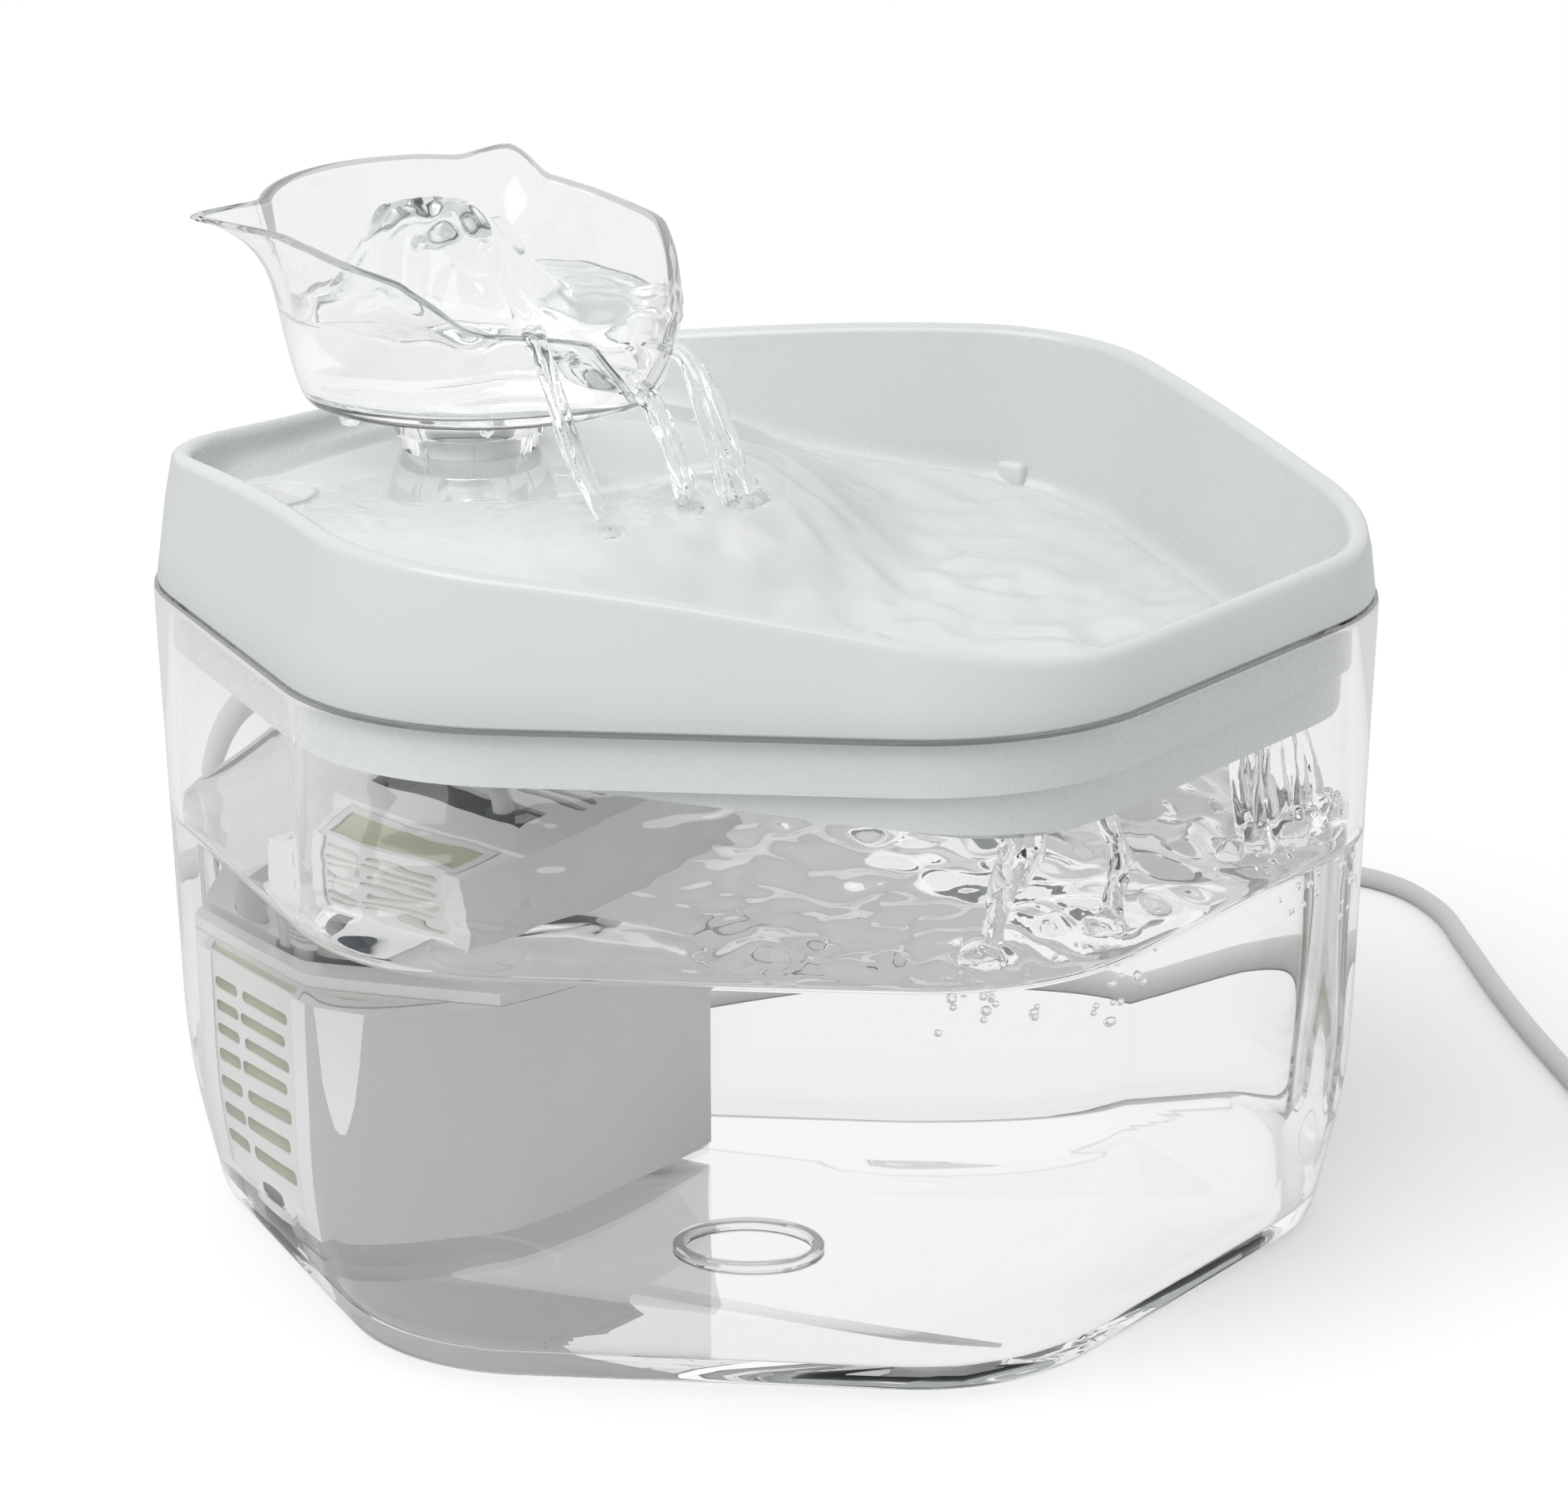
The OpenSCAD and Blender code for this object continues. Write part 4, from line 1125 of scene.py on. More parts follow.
    def drain_slot(self, x: float) -> bmesh.types.BMesh:
        """Cutter for one drain slot with round ends.

        Args:
            x: the slot's middle.

        Returns:
            The closed cutter.
        """
        bm = bmesh.new()
        half, r = self.drain_half, self.drain_r
        ring = [Vector((x + math.copysign(half, math.cos(a)) + r * math.cos(a),
                        self.drain_y + r * math.sin(a), 80))
                for a in (math.tau * (k + 0.5) / 24 for k in range(24))]
        edges = loop_of(bm, ring)
        face = bmesh.ops.edgeloop_fill(bm, edges=edges)["faces"]
        grown = bmesh.ops.extrude_face_region(bm, geom=face)
        bmesh.ops.translate(bm, verts=moved_verts(grown), vec=(0, 0, 20))
        bmesh.ops.recalc_face_normals(bm, faces=bm.faces)
        return bm

    def cord_gap(self) -> bmesh.types.BMesh:
        """Cutter for the skirt's gap over the lead.

        Returns:
            The closed cutter.
        """
        bm = bmesh.new()
        bmesh.ops.create_cube(bm, size=1)
        bmesh.ops.scale(bm, vec=(self.gap_w, self.gap_l, SEAM_Z - self.gap_z), verts=bm.verts)
        bmesh.ops.translate(bm, verts=bm.verts, vec=(CORD_X, HEX.apothem - 7, (SEAM_Z + self.gap_z) / 2))
        return bm

    def boss(self) -> bmesh.types.BMesh:
        """Thickening of the floor round the spigot's hole.

        Returns:
            The closed ring.
        """
        r, low, top = self.spigot_r + 0.02, self.platform_z - 4.0, self.platform_z + 0.1
        bm = spun([(r, low), (r + 7.6, low), (r + 7.95, low + 0.4), (r + 6.6, top - 1.0),
                   (r + 6.1, top - 0.25), (r + 5.4, top), (r, top)])
        bmesh.ops.translate(bm, verts=bm.verts, vec=(0, AXIS_Y, 0))
        return bm

    def level_tab(self, side: int) -> bmesh.types.BMesh:
        """Small upright tab at the floor's edge, with soft edges.

        Args:
            side: -1 for the left one and 1 for the right one.

        Returns:
            The closed tab.
        """
        bm = bmesh.new()
        bmesh.ops.create_cube(bm, size=1)
        bmesh.ops.scale(bm, vec=self.tab, verts=bm.verts)
        bmesh.ops.bevel(bm, geom=bm.edges[:], offset=1.2, offset_type="OFFSET", segments=3, profile=0.5,
                        affect="EDGES", material=-1)
        x, y = self.tab_at
        bmesh.ops.translate(bm, verts=bm.verts, vec=(side * x, y, self.pool_z + 2.4))
        return bm


# ---------------------------------------------------------------- spout


@dataclass
class SpoutBowl:
    """Clear bowl with two ears at its raised back, a pouring lip at its low front and a neck below."""

    base_z: float = 130.8
    base_r: float = 29.6
    rim_z: float = 165.6
    wall: float = 2.2
    floor_z: float = 132.8
    neck_r: float = 10.5
    neck_bore: float = 8.7
    neck_z: float = 124.6
    inlet_r: float = 5.0
    ear_angle: float = 57.0
    ear_reach: float = 11.3
    ear_rise: float = 1.0
    ear_half: float = 14.0
    ear_depth: float = 7.0
    # height of the band of painted shade along the rim
    rim_shade_band: float = 0.22
    steps: int = 240
    levels: tuple[float, ...] = (
        0.06, 0.12, 0.2, 0.3, 0.4, 0.5, 0.6, 0.7, 0.78, 0.84, 0.89, 0.93, 0.96, 0.985)
    outline: Table = (
        (0, 34.5), (30, 35.6), (45, 36.8), (60, 38.0), (70, 37.6), (82, 36.8), (96, 36.8), (108, 37.2),
        (117, 36.2), (125, 35.0), (136, 33.9), (147, 33.8), (157, 34.7), (165, 35.0), (180, 33.9))
    drop: Table = (
        (0, 0.0), (30, 0.4), (45, 1.2), (58, 2.6), (70, 4.5), (82, 5.9), (96, 7.8), (108, 9.5), (112, 11.2),
        (117, 13.3), (121, 15.3), (125, 17.1), (130, 18.1), (141, 18.9), (152, 19.8), (161, 21.0),
        (165, 23.6), (172, 28.0), (180, 31.8))

    @staticmethod
    def half_turn(turn: float) -> float:
        """Angle from the back, 0 to 180, of any turn round the bowl."""
        t = turn % 360
        return 360 - t if t > 180 else t

    def ear(self, angle: float) -> float:
        """Shape of an ear, round at its tip.

        Args:
            angle: angle from the back, 0 to 180.

        Returns:
            Share of the ear's reach, 0 away from the ears.
        """
        u = (angle - self.ear_angle) / self.ear_half
        v = max(1 - math.sqrt(u * u + 0.006), 0.0)
        return v * v * (1.9 - 0.9 * v) * 1.12

    def top_z(self, turn: float) -> float:
        """Height of the rim at a turn from the back."""
        angle = self.half_turn(turn)
        return self.rim_z - through(self.drop, angle) + self.ear(angle) * self.ear_rise

    def point(self, turn: float, u: float, shrink: float) -> Vector:
        """Point of the wall.

        Args:
            turn: degrees round from the back.
            u: 0 at the bowl's floor and 1 at its rim.
            shrink: how far inside the outer face.

        Returns:
            The point relative to the bowl's middle.
        """
        angle = self.half_turn(turn)
        foot = self.base_r + 0.9
        r = foot + (through(self.outline, angle) - foot) * u ** 0.75 - shrink
        r += self.ear(angle) * self.ear_reach * u ** self.ear_depth
        a = math.radians(turn)
        return Vector((r * math.sin(a), r * math.cos(a), mix(self.floor_z, self.top_z(turn), u)))

    def ring(self, u: float, shrink: float, lift: float = 0.0) -> Ring:
        """One ring of the wall, as point() gives it, raised by lift."""
        up = Vector((0, 0, lift))
        return [self.point(360 * k / self.steps, u, shrink) + up for k in range(self.steps)]

    def flat(self, r: float, z: float, y: float = 0.0) -> Ring:
        """Level round ring about a middle at distance y behind the bowl's."""
        return [Vector((r * math.sin(a), y + r * math.cos(a), z))
                for a in (math.tau * k / self.steps for k in range(self.steps))]

    def wall_u(self, turn: float, z: float) -> float:
        """Share of the wall's height at which it reaches z."""
        return min(max((z - self.floor_z) / (self.top_z(turn) - self.floor_z), 0.0), 1.0)

    def on_rim(self, p: Vector) -> bool:
        """True for a place on the rounded top of the wall, where the rim's painted shade goes."""
        turn = math.degrees(math.atan2(p.x, p.y - BOWL_Y)) % 360
        return p.z > self.top_z(turn) - self.rim_shade_band

    def wall_rings(self) -> list[Ring]:
        """Rings of the bowl itself.

        Returns:
            Rings from under the base, up the outside, over the rim and down to the inner floor.
        """
        under = [(-12, 0.0), (-1.0, 0.0), (-0.2, 0.15), (0.35, 0.6), (0.75, 1.3)]
        rings = [self.flat(self.base_r + out, self.base_z + up) for out, up in under]
        rings += [self.ring(u, 0) for u in self.levels]
        rim = [(0.0, -0.35), (0.15, 0.02), (0.55, 0.24), (self.wall * 0.5, 0.3),
               (self.wall - 0.55, 0.24), (self.wall - 0.15, 0.02), (self.wall, -0.35)]
        rings += [self.ring(1, shrink, lift) for shrink, lift in rim]
        rings += [self.ring(u, self.wall) for u in reversed(self.levels)]
        return rings + [self.flat(self.base_r - 2.4, self.floor_z + 0.3),
                        self.flat(self.base_r - 4, self.floor_z),
                        self.flat(self.base_r - 14, self.floor_z - 0.2)]

    def neck_rings(self) -> list[Ring]:
        """Rings of the inlet and the neck, about the axis on which the bowl turns.

        Returns:
            Rings down the inlet and the neck's bore, and up its outside.
        """
        inlet, bore, r = self.inlet_r, self.neck_bore, self.neck_r
        section = [(inlet + 0.4, self.floor_z - 0.2), (inlet, self.floor_z - 0.6),
                   (inlet, self.base_z + 0.02), (bore, self.base_z - 0.1), (bore, self.neck_z + 0.3),
                   (bore + 0.3, self.neck_z), (r - 0.3, self.neck_z), (r, self.neck_z + 0.3),
                   (r, self.base_z - 0.5), (r + 0.5, self.base_z)]
        return [self.flat(radius, z, AXIS_Y - BOWL_Y) for radius, z in section]

    def build(self, looks: Finishes) -> None:
        """Make the bowl with its neck and dress the collar.

        Args:
            looks: the finishes.
        """
        rings = self.wall_rings() + self.neck_rings()
        bm = loft(rings, closed=True)
        bmesh.ops.translate(bm, verts=bm.verts, vec=(0, BOWL_Y, 0))
        bowl = finish_mesh("spout_cat_bowl", bm, looks.spout, 55)
        # painted shade: the rounded top of the wall takes the grey finish of the rim's dark edge lines
        finish_where(bowl, looks.spout_rim_shade, self.on_rim)
        ride(bowl, "spout", "clear_spout", "spout_bowl", "spout_neck")
        dress(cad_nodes()["spout_collar"], looks.spout)
        LOG.info("spout bowl with %d rings", len(rings))


# ---------------------------------------------------------------- water


@dataclass(frozen=True)
class Strand:
    """One run of moving water: where it goes and how thick it is."""

    path: tuple[tuple[float, float, float], ...]
    thick: float
    seed: float
    twist: float = 0.2
    threads: int = 3

    def threads_of(self) -> list[bmesh.types.BMesh]:
        """Thin tubes that wind round each other along the path.

        Returns:
            One closed tube for each thread.
        """
        dense = catmull(self.path, 12)
        made = []
        for j in range(self.threads):
            far, line = 0.0, []
            for i, p in enumerate(dense):
                far += (p - dense[i - 1]).length if i else 0.0
                turn = math.tau * j / self.threads + self.seed + self.twist * far
                wander = Vector((noise.noise(Vector((far * 0.09, self.seed, 2.0 + j))),
                                 noise.noise(Vector((far * 0.09, self.seed, 9.0 + j))), 0))
                line.append(p + 0.5 * self.thick * (Vector((math.cos(turn), math.sin(turn), 0)) + wander))
            made.append(tube_along(line, partial(self.radius, 11.0 * j), 14))
        return made

    def radius(self, shift: float, u: float) -> float:
        """Radius of one thread.

        Args:
            shift: makes each thread swell at places of its own.
            u: share of the way, 0 to 1.

        Returns:
            The radius, thin at both ends.
        """
        beat = 1 + 0.5 * noise.noise(Vector((5 * u + shift, self.seed, 0.3)))
        ends = smooth(u * 10 + 0.45) * smooth((1 - u) * 12 + 0.5)
        return 0.62 * self.thick * beat * max(ends, 0.25)


def blob(at: Sequence[float], r: float, seed: float, squat: float = 0.8) -> bmesh.types.BMesh:
    """Rounded lump of water with an uneven skin.

    Args:
        at: its middle in millimetres.
        r: rough radius.
        seed: picks the lumps.
        squat: height as a share of width.

    Returns:
        The closed lump.
    """
    bm = bmesh.new()
    bmesh.ops.create_icosphere(bm, subdivisions=3, radius=r)
    for v in bm.verts:
        v.co *= 1 + 0.35 * noise.noise(v.co * (1.4 / r) + Vector((seed, 0, 0)))
        v.co.z *= squat
    bmesh.ops.translate(bm, verts=bm.verts, vec=at)
    return bm


def fused(name: str, parts: Sequence[bmesh.types.BMesh], voxel: float, material: bpy.types.Material,
          rounds: int = 5) -> bpy.types.Object:
    """Melt overlapping closed parts into one smooth skin.

    Args:
        name: the piece's name.
        parts: closed meshes in millimetres; freed here.
        voxel: size of the finest feature kept, in millimetres.
        material: finish of the result.
        rounds: smoothing passes.

    Returns:
        The finished object.
    """
    whole = bmesh.new()
    for part in parts:
        mesh = bpy.data.meshes.new("part")
        part.to_mesh(mesh)
        part.free()
        whole.from_mesh(mesh)
        bpy.data.meshes.remove(mesh)
    obj = finish_mesh(name, whole, material, 180)
    melt = obj.modifiers.new("melt", "REMESH")
    melt.mode = "VOXEL"
    melt.voxel_size = voxel * MM
    melt.use_smooth_shade = True
    ease = obj.modifiers.new("ease", "SMOOTH")
    ease.factor = 0.5
    ease.iterations = rounds
    keep_result(obj)
    return obj


def join_water(obj: bpy.types.Object, other: bpy.types.Object) -> None:
    """Unite two closed bodies of water.

    Args:
        obj: the first, which becomes the whole.
        other: the second, which is dropped.
    """
    step = obj.modifiers.new("join", "BOOLEAN")
    step.operation = "UNION"
    step.solver = "MANIFOLD"
    step.material_mode = "TRANSFER"
    step.object = other
    keep_result(obj)
    bpy.data.objects.remove(other)


@dataclass
class Water:
    """Everything wet: the tank's fill, the film on the tray, the bowl's fill and the streams."""

    tank: Tank
    tray: DrinkingTray
    bowl: SpoutBowl
    level: float = 67.6
    overlap: float = 0.12
    surface_rings: int = 77
    film_rings: int = 72
    mound_rings: int = 53
    voxel_tank: float = 0.36
    voxel_fine: float = 0.3
    bubble_count: int = 54
    lands: tuple[tuple[float, float], ...] = ((-42.6, -72.3), (-18.0, -77.5), (33.0, -77.0), (46.0, -80.0))
    mound: tuple[float, float] = (-3.0, 5.0)
    mound_h: float = 15.6
    mound_r: float = 14.2
    mound_z: float = 149.5
    bowl_z: float = 147.4
    side_z: float = 145.6
    lip_z: float = 136.6
    pour_lands: tuple[tuple[tuple[float, float, float], float], ...] = (
        ((-22.9, 13.6, 117.6), 2.0), ((-20.8, 13.8, 117.7), 1.6), ((-6.2, 10.0, 117.6), 2.3),
        ((-3.4, 10.6, 117.7), 1.8), ((3.8, 8.4, 117.3), 1.8), ((6.8, 8.2, 117.4), 2.2),
        ((10.4, 8.4, 117.3), 2.0))
    splashes: tuple[tuple[float, float, float, float], ...] = (
        (30, -75, 0.6, 3.6), (36, -78, 1.2, 3.8), (40.5, -79, 2.6, 3.4), (44, -80, 3.6, 3.2),
        (47.5, -80.5, 2.4, 3.3), (50.8, -81, 0.8, 2.8), (45.6, -79.4, 5.6, 1.9),
        (42.2, -80.6, 5.0, 1.7), (49, -80.4, 4.4, 1.5), (24.6, -74, 0.4, 2.8))

    def swell(self, p: Vector) -> float:
        """Rise of the tank's surface: rings and chop near the falls, and a slow swell elsewhere.

        Args:
            p: a point in plan.

        Returns:
            Height above the level, 0 at the wall.
        """
        z = 0.0
        for x, y in self.lands:
            d = math.hypot(p.x - x, p.y - y)
            z += 0.75 * math.cos(d * 0.9) * math.exp(-d / 15) * smooth(d / 4 + 0.2)
        near = smooth((0.59 * p.x - 0.81 * p.y + 26) / 38)
        edge = smooth((d_edge(p) - 1) / 8)
        chop = 1.3 * ripple(p, 12, 2.0) + 0.5 * ripple(p, 5.5, 5.0)
        calm = 0.17 * ripple(Vector((p.x * 0.6, p.y, 0)), 17, 9.0)
        return (z + mix(0.1, 1.0, near) * chop + calm) * edge

    def tank_fill(self) -> bmesh.types.BMesh:
        """Volume of the water in the tank, a hair into its wall.

        Returns:
            The closed volume.
        """
        profile = [(t, z) for t, z in self.tank.inside() if z < self.level - 1.5]
        rings = [FINE.ring(t - self.overlap, z - (self.overlap if i == 0 else 0))
                 for i, (t, z) in enumerate(profile)]
        t = self.tank.inset_at(self.level)
        rings.append(FINE.ring(t - self.overlap, self.level - 0.6))
        rings.append(FINE.ring(t - self.overlap, self.level + 0.5))
        rings.append(FINE.ring(t + 0.5, self.level + 0.25))
        outer = FINE.ring(t + 1.4, self.level)
        rings.append(outer)
        for i in range(1, self.surface_rings - 1):
            share = 1 - i / self.surface_rings
            flat = [Vector((q.x * share, q.y * share, self.level)) for q in outer]
            rings.append([p + Vector((0, 0, self.swell(p))) for p in flat])
        return loft(rings)

    def film_depth(self, p: Vector) -> float:
        """Depth of the film on the tray.

        Args:
            p: a point in plan.

        Returns:
            The depth: thin near the spout, deep at the front, with rings, most of them round the pours.
        """
        away = smooth((math.hypot(p.x, p.y - AXIS_Y) - 36) / 26)
        deep = mix(0.3, 1.7, away) + 1.0 * smooth((-p.y - 30) / 40)
        wave = 0.0
        for x, y, size in ((-21, 14, 0.8), (-8, 8, 1.0), (6, 7, 0.9), (40, -20, 0.5), (-30, -25, 0.4)):
            r = math.hypot(p.x - x, p.y - y)
            wave += size * math.cos(r * 0.6) * math.exp(-r / 26)
        wave += 1.1 * ripple(p, 14, 8.0) + 0.4 * ripple(p, 6, 3.0)
        return max(deep + wave * away * 0.75, 0.15)

    def tray_film(self) -> bmesh.types.BMesh:
        """Film of water that runs over the tray's floor.

        Returns:
            The closed film.
        """
        tray = self.tray
        count = tray.outline.count
        corners = [tray.outline.point(k, tray.edge(k)[0] + 2.2) for k in range(count)]
        top, bottom = [], []
        for i in range(3, self.film_rings + 1):
            share = i / self.film_rings
            up, down = [], []
            for corner in corners:
                q = corner * share
                floor = tray.floor_height(q)
                up.append(Vector((q.x, q.y, floor + self.film_depth(q) * smooth((1.015 - share) * 20))))
                down.append(Vector((q.x, q.y, floor - 0.15)))
            top.append(up)
            bottom.append(down)
        return loft(bottom + top[::-1])

    def bowl_level(self, p: Vector) -> float:
        """Height of the water in the bowl.

        The mound over the inlet comes first, then its lumps, and then the ridges of the water that
        runs down to the lip.

        Args:
            p: a point relative to the bowl's middle.

        Returns:
            The height.
        """
        x, y = p.x - self.mound[0], p.y - self.mound[1]
        d = math.hypot(x, y)
        well = self.mound_h * math.exp(-(d / self.mound_r) ** 4.4)
        well += 2.0 * math.exp(-((d - 17.5) / 3.5) ** 2)
        lump = math.exp(-(d / 16) ** 4) * (2.6 * ripple(p, 8.5, 1.0) + 0.5 * ripple(p, 3.8, 4.0))
        lump += 2.2 * ripple(p, 5.5, 9.0) * math.exp(-((d - 14) / 5) ** 2)
        lump += 0.6 * math.sin(7 * math.atan2(y, x)) * math.exp(-((d - 12) / 4) ** 2)
        fall = smooth((6 - p.y) / 36)
        turn = math.atan2(p.x, -p.y - 6)
        ridge = 1.0 * math.sin(13 * turn + 3.0 * noise.noise(p * 0.09)) * fall * smooth((d - 9) / 8)
        run = mix(self.side_z, self.lip_z, smooth(1.25 - abs(p.x) / 13))
        return mix(self.bowl_z, run, fall) + well + lump + ridge + 0.7 * ripple(p, 8, 7.0)

    def moving(self, p: Vector) -> bool:
        """True for a place in the bowl's mound or where its water runs out over the lip."""
        return p.z > self.mound_z or (p.y < 44 and p.z > self.lip_z - 0.4 and abs(p.x) < 20)

    def shore(self, turn: float) -> float:
        """Height at which the water meets the bowl's wall.

        Args:
            turn: degrees round from the back.

        Returns:
            The height, over the rim only at the lip and beside it.
        """
        edge = self.bowl.point(turn, self.bowl.wall_u(turn, 146), self.bowl.wall)
        top = self.bowl.top_z(turn)
        over = 1.3 * smooth((20 - abs(turn - 180)) / 12) + 0.7 * smooth((12 - abs(turn - 217)) / 8)
        return min(self.bowl_level(edge), top - 1.1 + over * 1.6)

    def bowl_fill(self) -> bmesh.types.BMesh:
        """Volume of the water in the bowl, welling up over its inlet.

        Returns:
            The closed volume.
        """
        bowl, n = self.bowl, self.bowl.steps
        sink, back = self.overlap, AXIS_Y - BOWL_Y
        rings = [bowl.flat(bowl.inlet_r + 0.6, bowl.floor_z - 0.2 - sink, back),
                 bowl.flat(bowl.base_r - 14, bowl.floor_z - 0.2 - sink),
                 bowl.flat(bowl.base_r - 4, bowl.floor_z - sink)]
        turns = [360 * k / n for k in range(n)]
        shores = [self.shore(turn) for turn in turns]
        for u in (0.1, 0.22, 0.36, 0.5, 0.65, 0.8, 0.9, 1.0):
            ring = []
            for turn, z in zip(turns, shores):
                level = mix(bowl.floor_z, z, u)
                q = bowl.point(turn, bowl.wall_u(turn, level), bowl.wall - sink)
                ring.append(Vector((q.x, q.y, level)))
            rings.append(ring)
        outer = rings[-1]
        for i in range(1, self.mound_rings - 1):
            share = 1 - i / self.mound_rings
            middle = Vector((*self.mound, 0)) * (1 - share)
            ring = []
            for q in outer:
                p = Vector((q.x * share, q.y * share, 0)) + middle
                z = mix(self.bowl_level(p), q.z, smooth((share - 0.8) / 0.2))
                ring.append(Vector((p.x, p.y, z)))
            rings.append(ring)
        bm = loft(rings)
        bmesh.ops.translate(bm, verts=bm.verts, vec=(0, BOWL_Y, 0))
        return bm

    @staticmethod
    def pours() -> list[Strand]:
        """Streams that leave the bowl over its lip and beside it.

        Returns:
            The streams, in three groups from left to right.
        """
        left = [Strand(((-16.5 - s, 34.5 - s * 0.4, 147.2), (-19.3 - s, 31.6, 147.3),
                        (-21.5 - s, 28.5, 145.2),
                        (-22.3 - s, 25.6, 139), (-22.6 - s * 0.8, 21.5, 130), (-22.4 - s * 0.6, 17.6, 123),
                        (-22.0 - s * 0.4, 14.0, 117.4)), 0.95, 1.7 + s, 0.12, 2)
                for s in (-2.2, -1.1, 0.0, 1.0)]
        middle = [Strand(((s, 29, 136.8), (s, 25.6, 135.7), (s * 0.9 - 0.3, 22.4, 133.8),
                          (s * 0.7 - 1.4, 18.5, 129),
                          (s * 0.8 - 3.0, 14.4, 123), (s - 5.0, 10.4, 117.6)), 1.05, 4.2 + s, 0.25, 3)
                  for s in (-1.5, 0.3, 2.0)]
        right = [Strand(((9 + s, 29.5, 141.2), (9.6 + s, 26, 141.0), (10 + s, 22.4, 139),
                         (9.6 + s * 1.5, 18.5, 133), (8.4 + s * 2.1, 14, 125.6),
                         (6.6 + s * 2.8, 8.6, 117.2)), 0.9, 7.3 + s, 0.15, 2)
                 for s in (-1.6, -0.8, 0.0, 0.9, 1.8)]
        return left + middle + right

    @staticmethod
    def tank_falls() -> list[Strand]:
        """Streams that run from the drain slots into the tank.

        Returns:
            The streams, from left to right.
        """
        first = [Strand(((-38.8, -73.4, 91), (-38.6, -74.3, 87), (-38.4, -73.8, 81), (-39.0, -72.8, 75),
                         (-42.4, -72.3, 66.8)), 2.0, 0.4, 0.3),
                 Strand(((-36.8, -73.8, 90.5), (-35.6, -77.6, 87), (-35.2, -76.6, 82),
                         (-36.6, -74.4, 77.5)), 1.0, 1.1),
                 Strand(((-15.8, -73.2, 90.8), (-14.6, -75, 87), (-13.4, -76.1, 82), (-10.8, -76.6, 77),
                         (-14.2, -77.6, 72), (-18.2, -78.4, 66.8)), 1.75, 2.3, 0.34)]
        sheet = [Strand(((mix(24, 39, s), -73.4, 91), (mix(26.5, 38.8, s), mix(-74, -78, s), 86),
                         (mix(27.2, 38.6, s), mix(-73.6, -78.8, s), 78),
                         (mix(27, 39.2, s), mix(-74.6, -79.4, s), 66.8)), 1.35, 3.0 + 5 * s, 0.14, 2)
                 for s in (0.0, 0.14, 0.3, 0.45, 0.6, 0.74, 0.88, 1.0)]
        edge = [Strand(((38.5, -74, 90.6), (35.5, -80.6, 86), (35.8, -82.2, 81), (37.4, -82.4, 75)),
                       0.9, 6.1)]
        return first + sheet + edge

    def crowns(self) -> list[bmesh.types.BMesh]:
        """Lumps thrown up where the falls land.

        Returns:
            The closed lumps.
        """
        z = self.level
        out = [blob((-42.4, -72.3, z + 0.2), 3.6, 1, 0.5), blob((-18.2, -78.2, z + 0.2), 3.4, 2, 0.5)]
        for n, (x, y, h, r) in enumerate(self.splashes):
            out.append(blob((x, y, z + h), r, 3.0 + n, 0.8))
        return out

    @staticmethod
    def drips() -> list[tuple[str, tuple[float, float, float], float]]:
        """Name, place and radius of each drop that hangs under the bowl."""
        return [("water_drip_1", (-24.2, 66.6, 129.9), 1.6), ("water_drip_2", (-22.0, 64.0, 130.0), 1.2),
                ("water_drip_3", (-19.8, 41.0, 130.2), 1.1)]

    def bubbles(self) -> bmesh.types.BMesh:
        """Air bubbles carried down by the falls.

        Returns:
            One mesh of many small closed balls.
        """
        bm = bmesh.new()
        for n in range(self.bubble_count):
            x, y = self.lands[n % len(self.lands)]
            across = noise.noise(Vector((n * 1.7, 0.3, 0)))
            along = noise.noise(Vector((n * 1.3, 5.1, 0)))
            deep = 2.0 + 13.0 * abs(noise.noise(Vector((n * 0.9, 2.2, 7.7)))) * 1.6
            at = Vector((x + 17 * across, min(max(y + 12 * along, -80.0), -52.0), self.level - deep))
            r = 0.45 + 1.0 * abs(noise.noise(Vector((n * 2.1, 8.8, 1.1))))
            one = bmesh.ops.create_icosphere(bm, subdivisions=3, radius=r)
            bmesh.ops.translate(bm, verts=one["verts"], vec=at)
        return bm

    def build(self, looks: Finishes) -> None:
        """Make all the water, each body of it on the part that holds it.

        Args:
            looks: the finishes.
        """
        fill = finish_mesh("water_in_tank", self.tank_fill(), looks.water, 180)
        threads = [t for strand in self.tank_falls() for t in strand.threads_of()]
        join_water(fill, fused("tank_streams", threads + self.crowns(), self.voxel_tank, looks.stream))
        ride(fill, "tank")
        film = finish_mesh("water_on_tray", self.tray_film(), looks.film, 180)
        landed = [blob(at, r, r + n, 0.55) for n, (at, r) in enumerate(self.pour_lands)]
        join_water(film, fused("tray_crowns", landed, self.voxel_fine, looks.stream))
        ride(film, "tray")
        bowl = finish_mesh("water_in_bowl", self.bowl_fill(), looks.water, 180)
        finish_where(bowl, looks.stream, self.moving)
        threads = [t for strand in self.pours() for t in strand.threads_of()]
        join_water(bowl, fused("bowl_streams", threads, self.voxel_fine, looks.stream))
        ride(bowl, "spout")
        ride(finish_mesh("water_bubbles", self.bubbles(), looks.bubble, 180), "tank")
        for name, at, r in self.drips():
            ride(finish_mesh(name, blob(at, r, r, 1.1), looks.water, 180), "spout")
        LOG.info("water with %d streams", len(self.pours()) + len(self.tank_falls()))


def d_edge(p: Vector) -> float:
    """Rough distance of a point from the tank's inner wall."""
    reach = max(abs(p.y), abs(p.x) * math.cos(math.pi / 6) + abs(p.y) * 0.5)
    return HEX.apothem - 4 - reach


# ---------------------------------------------------------------- housing and pump


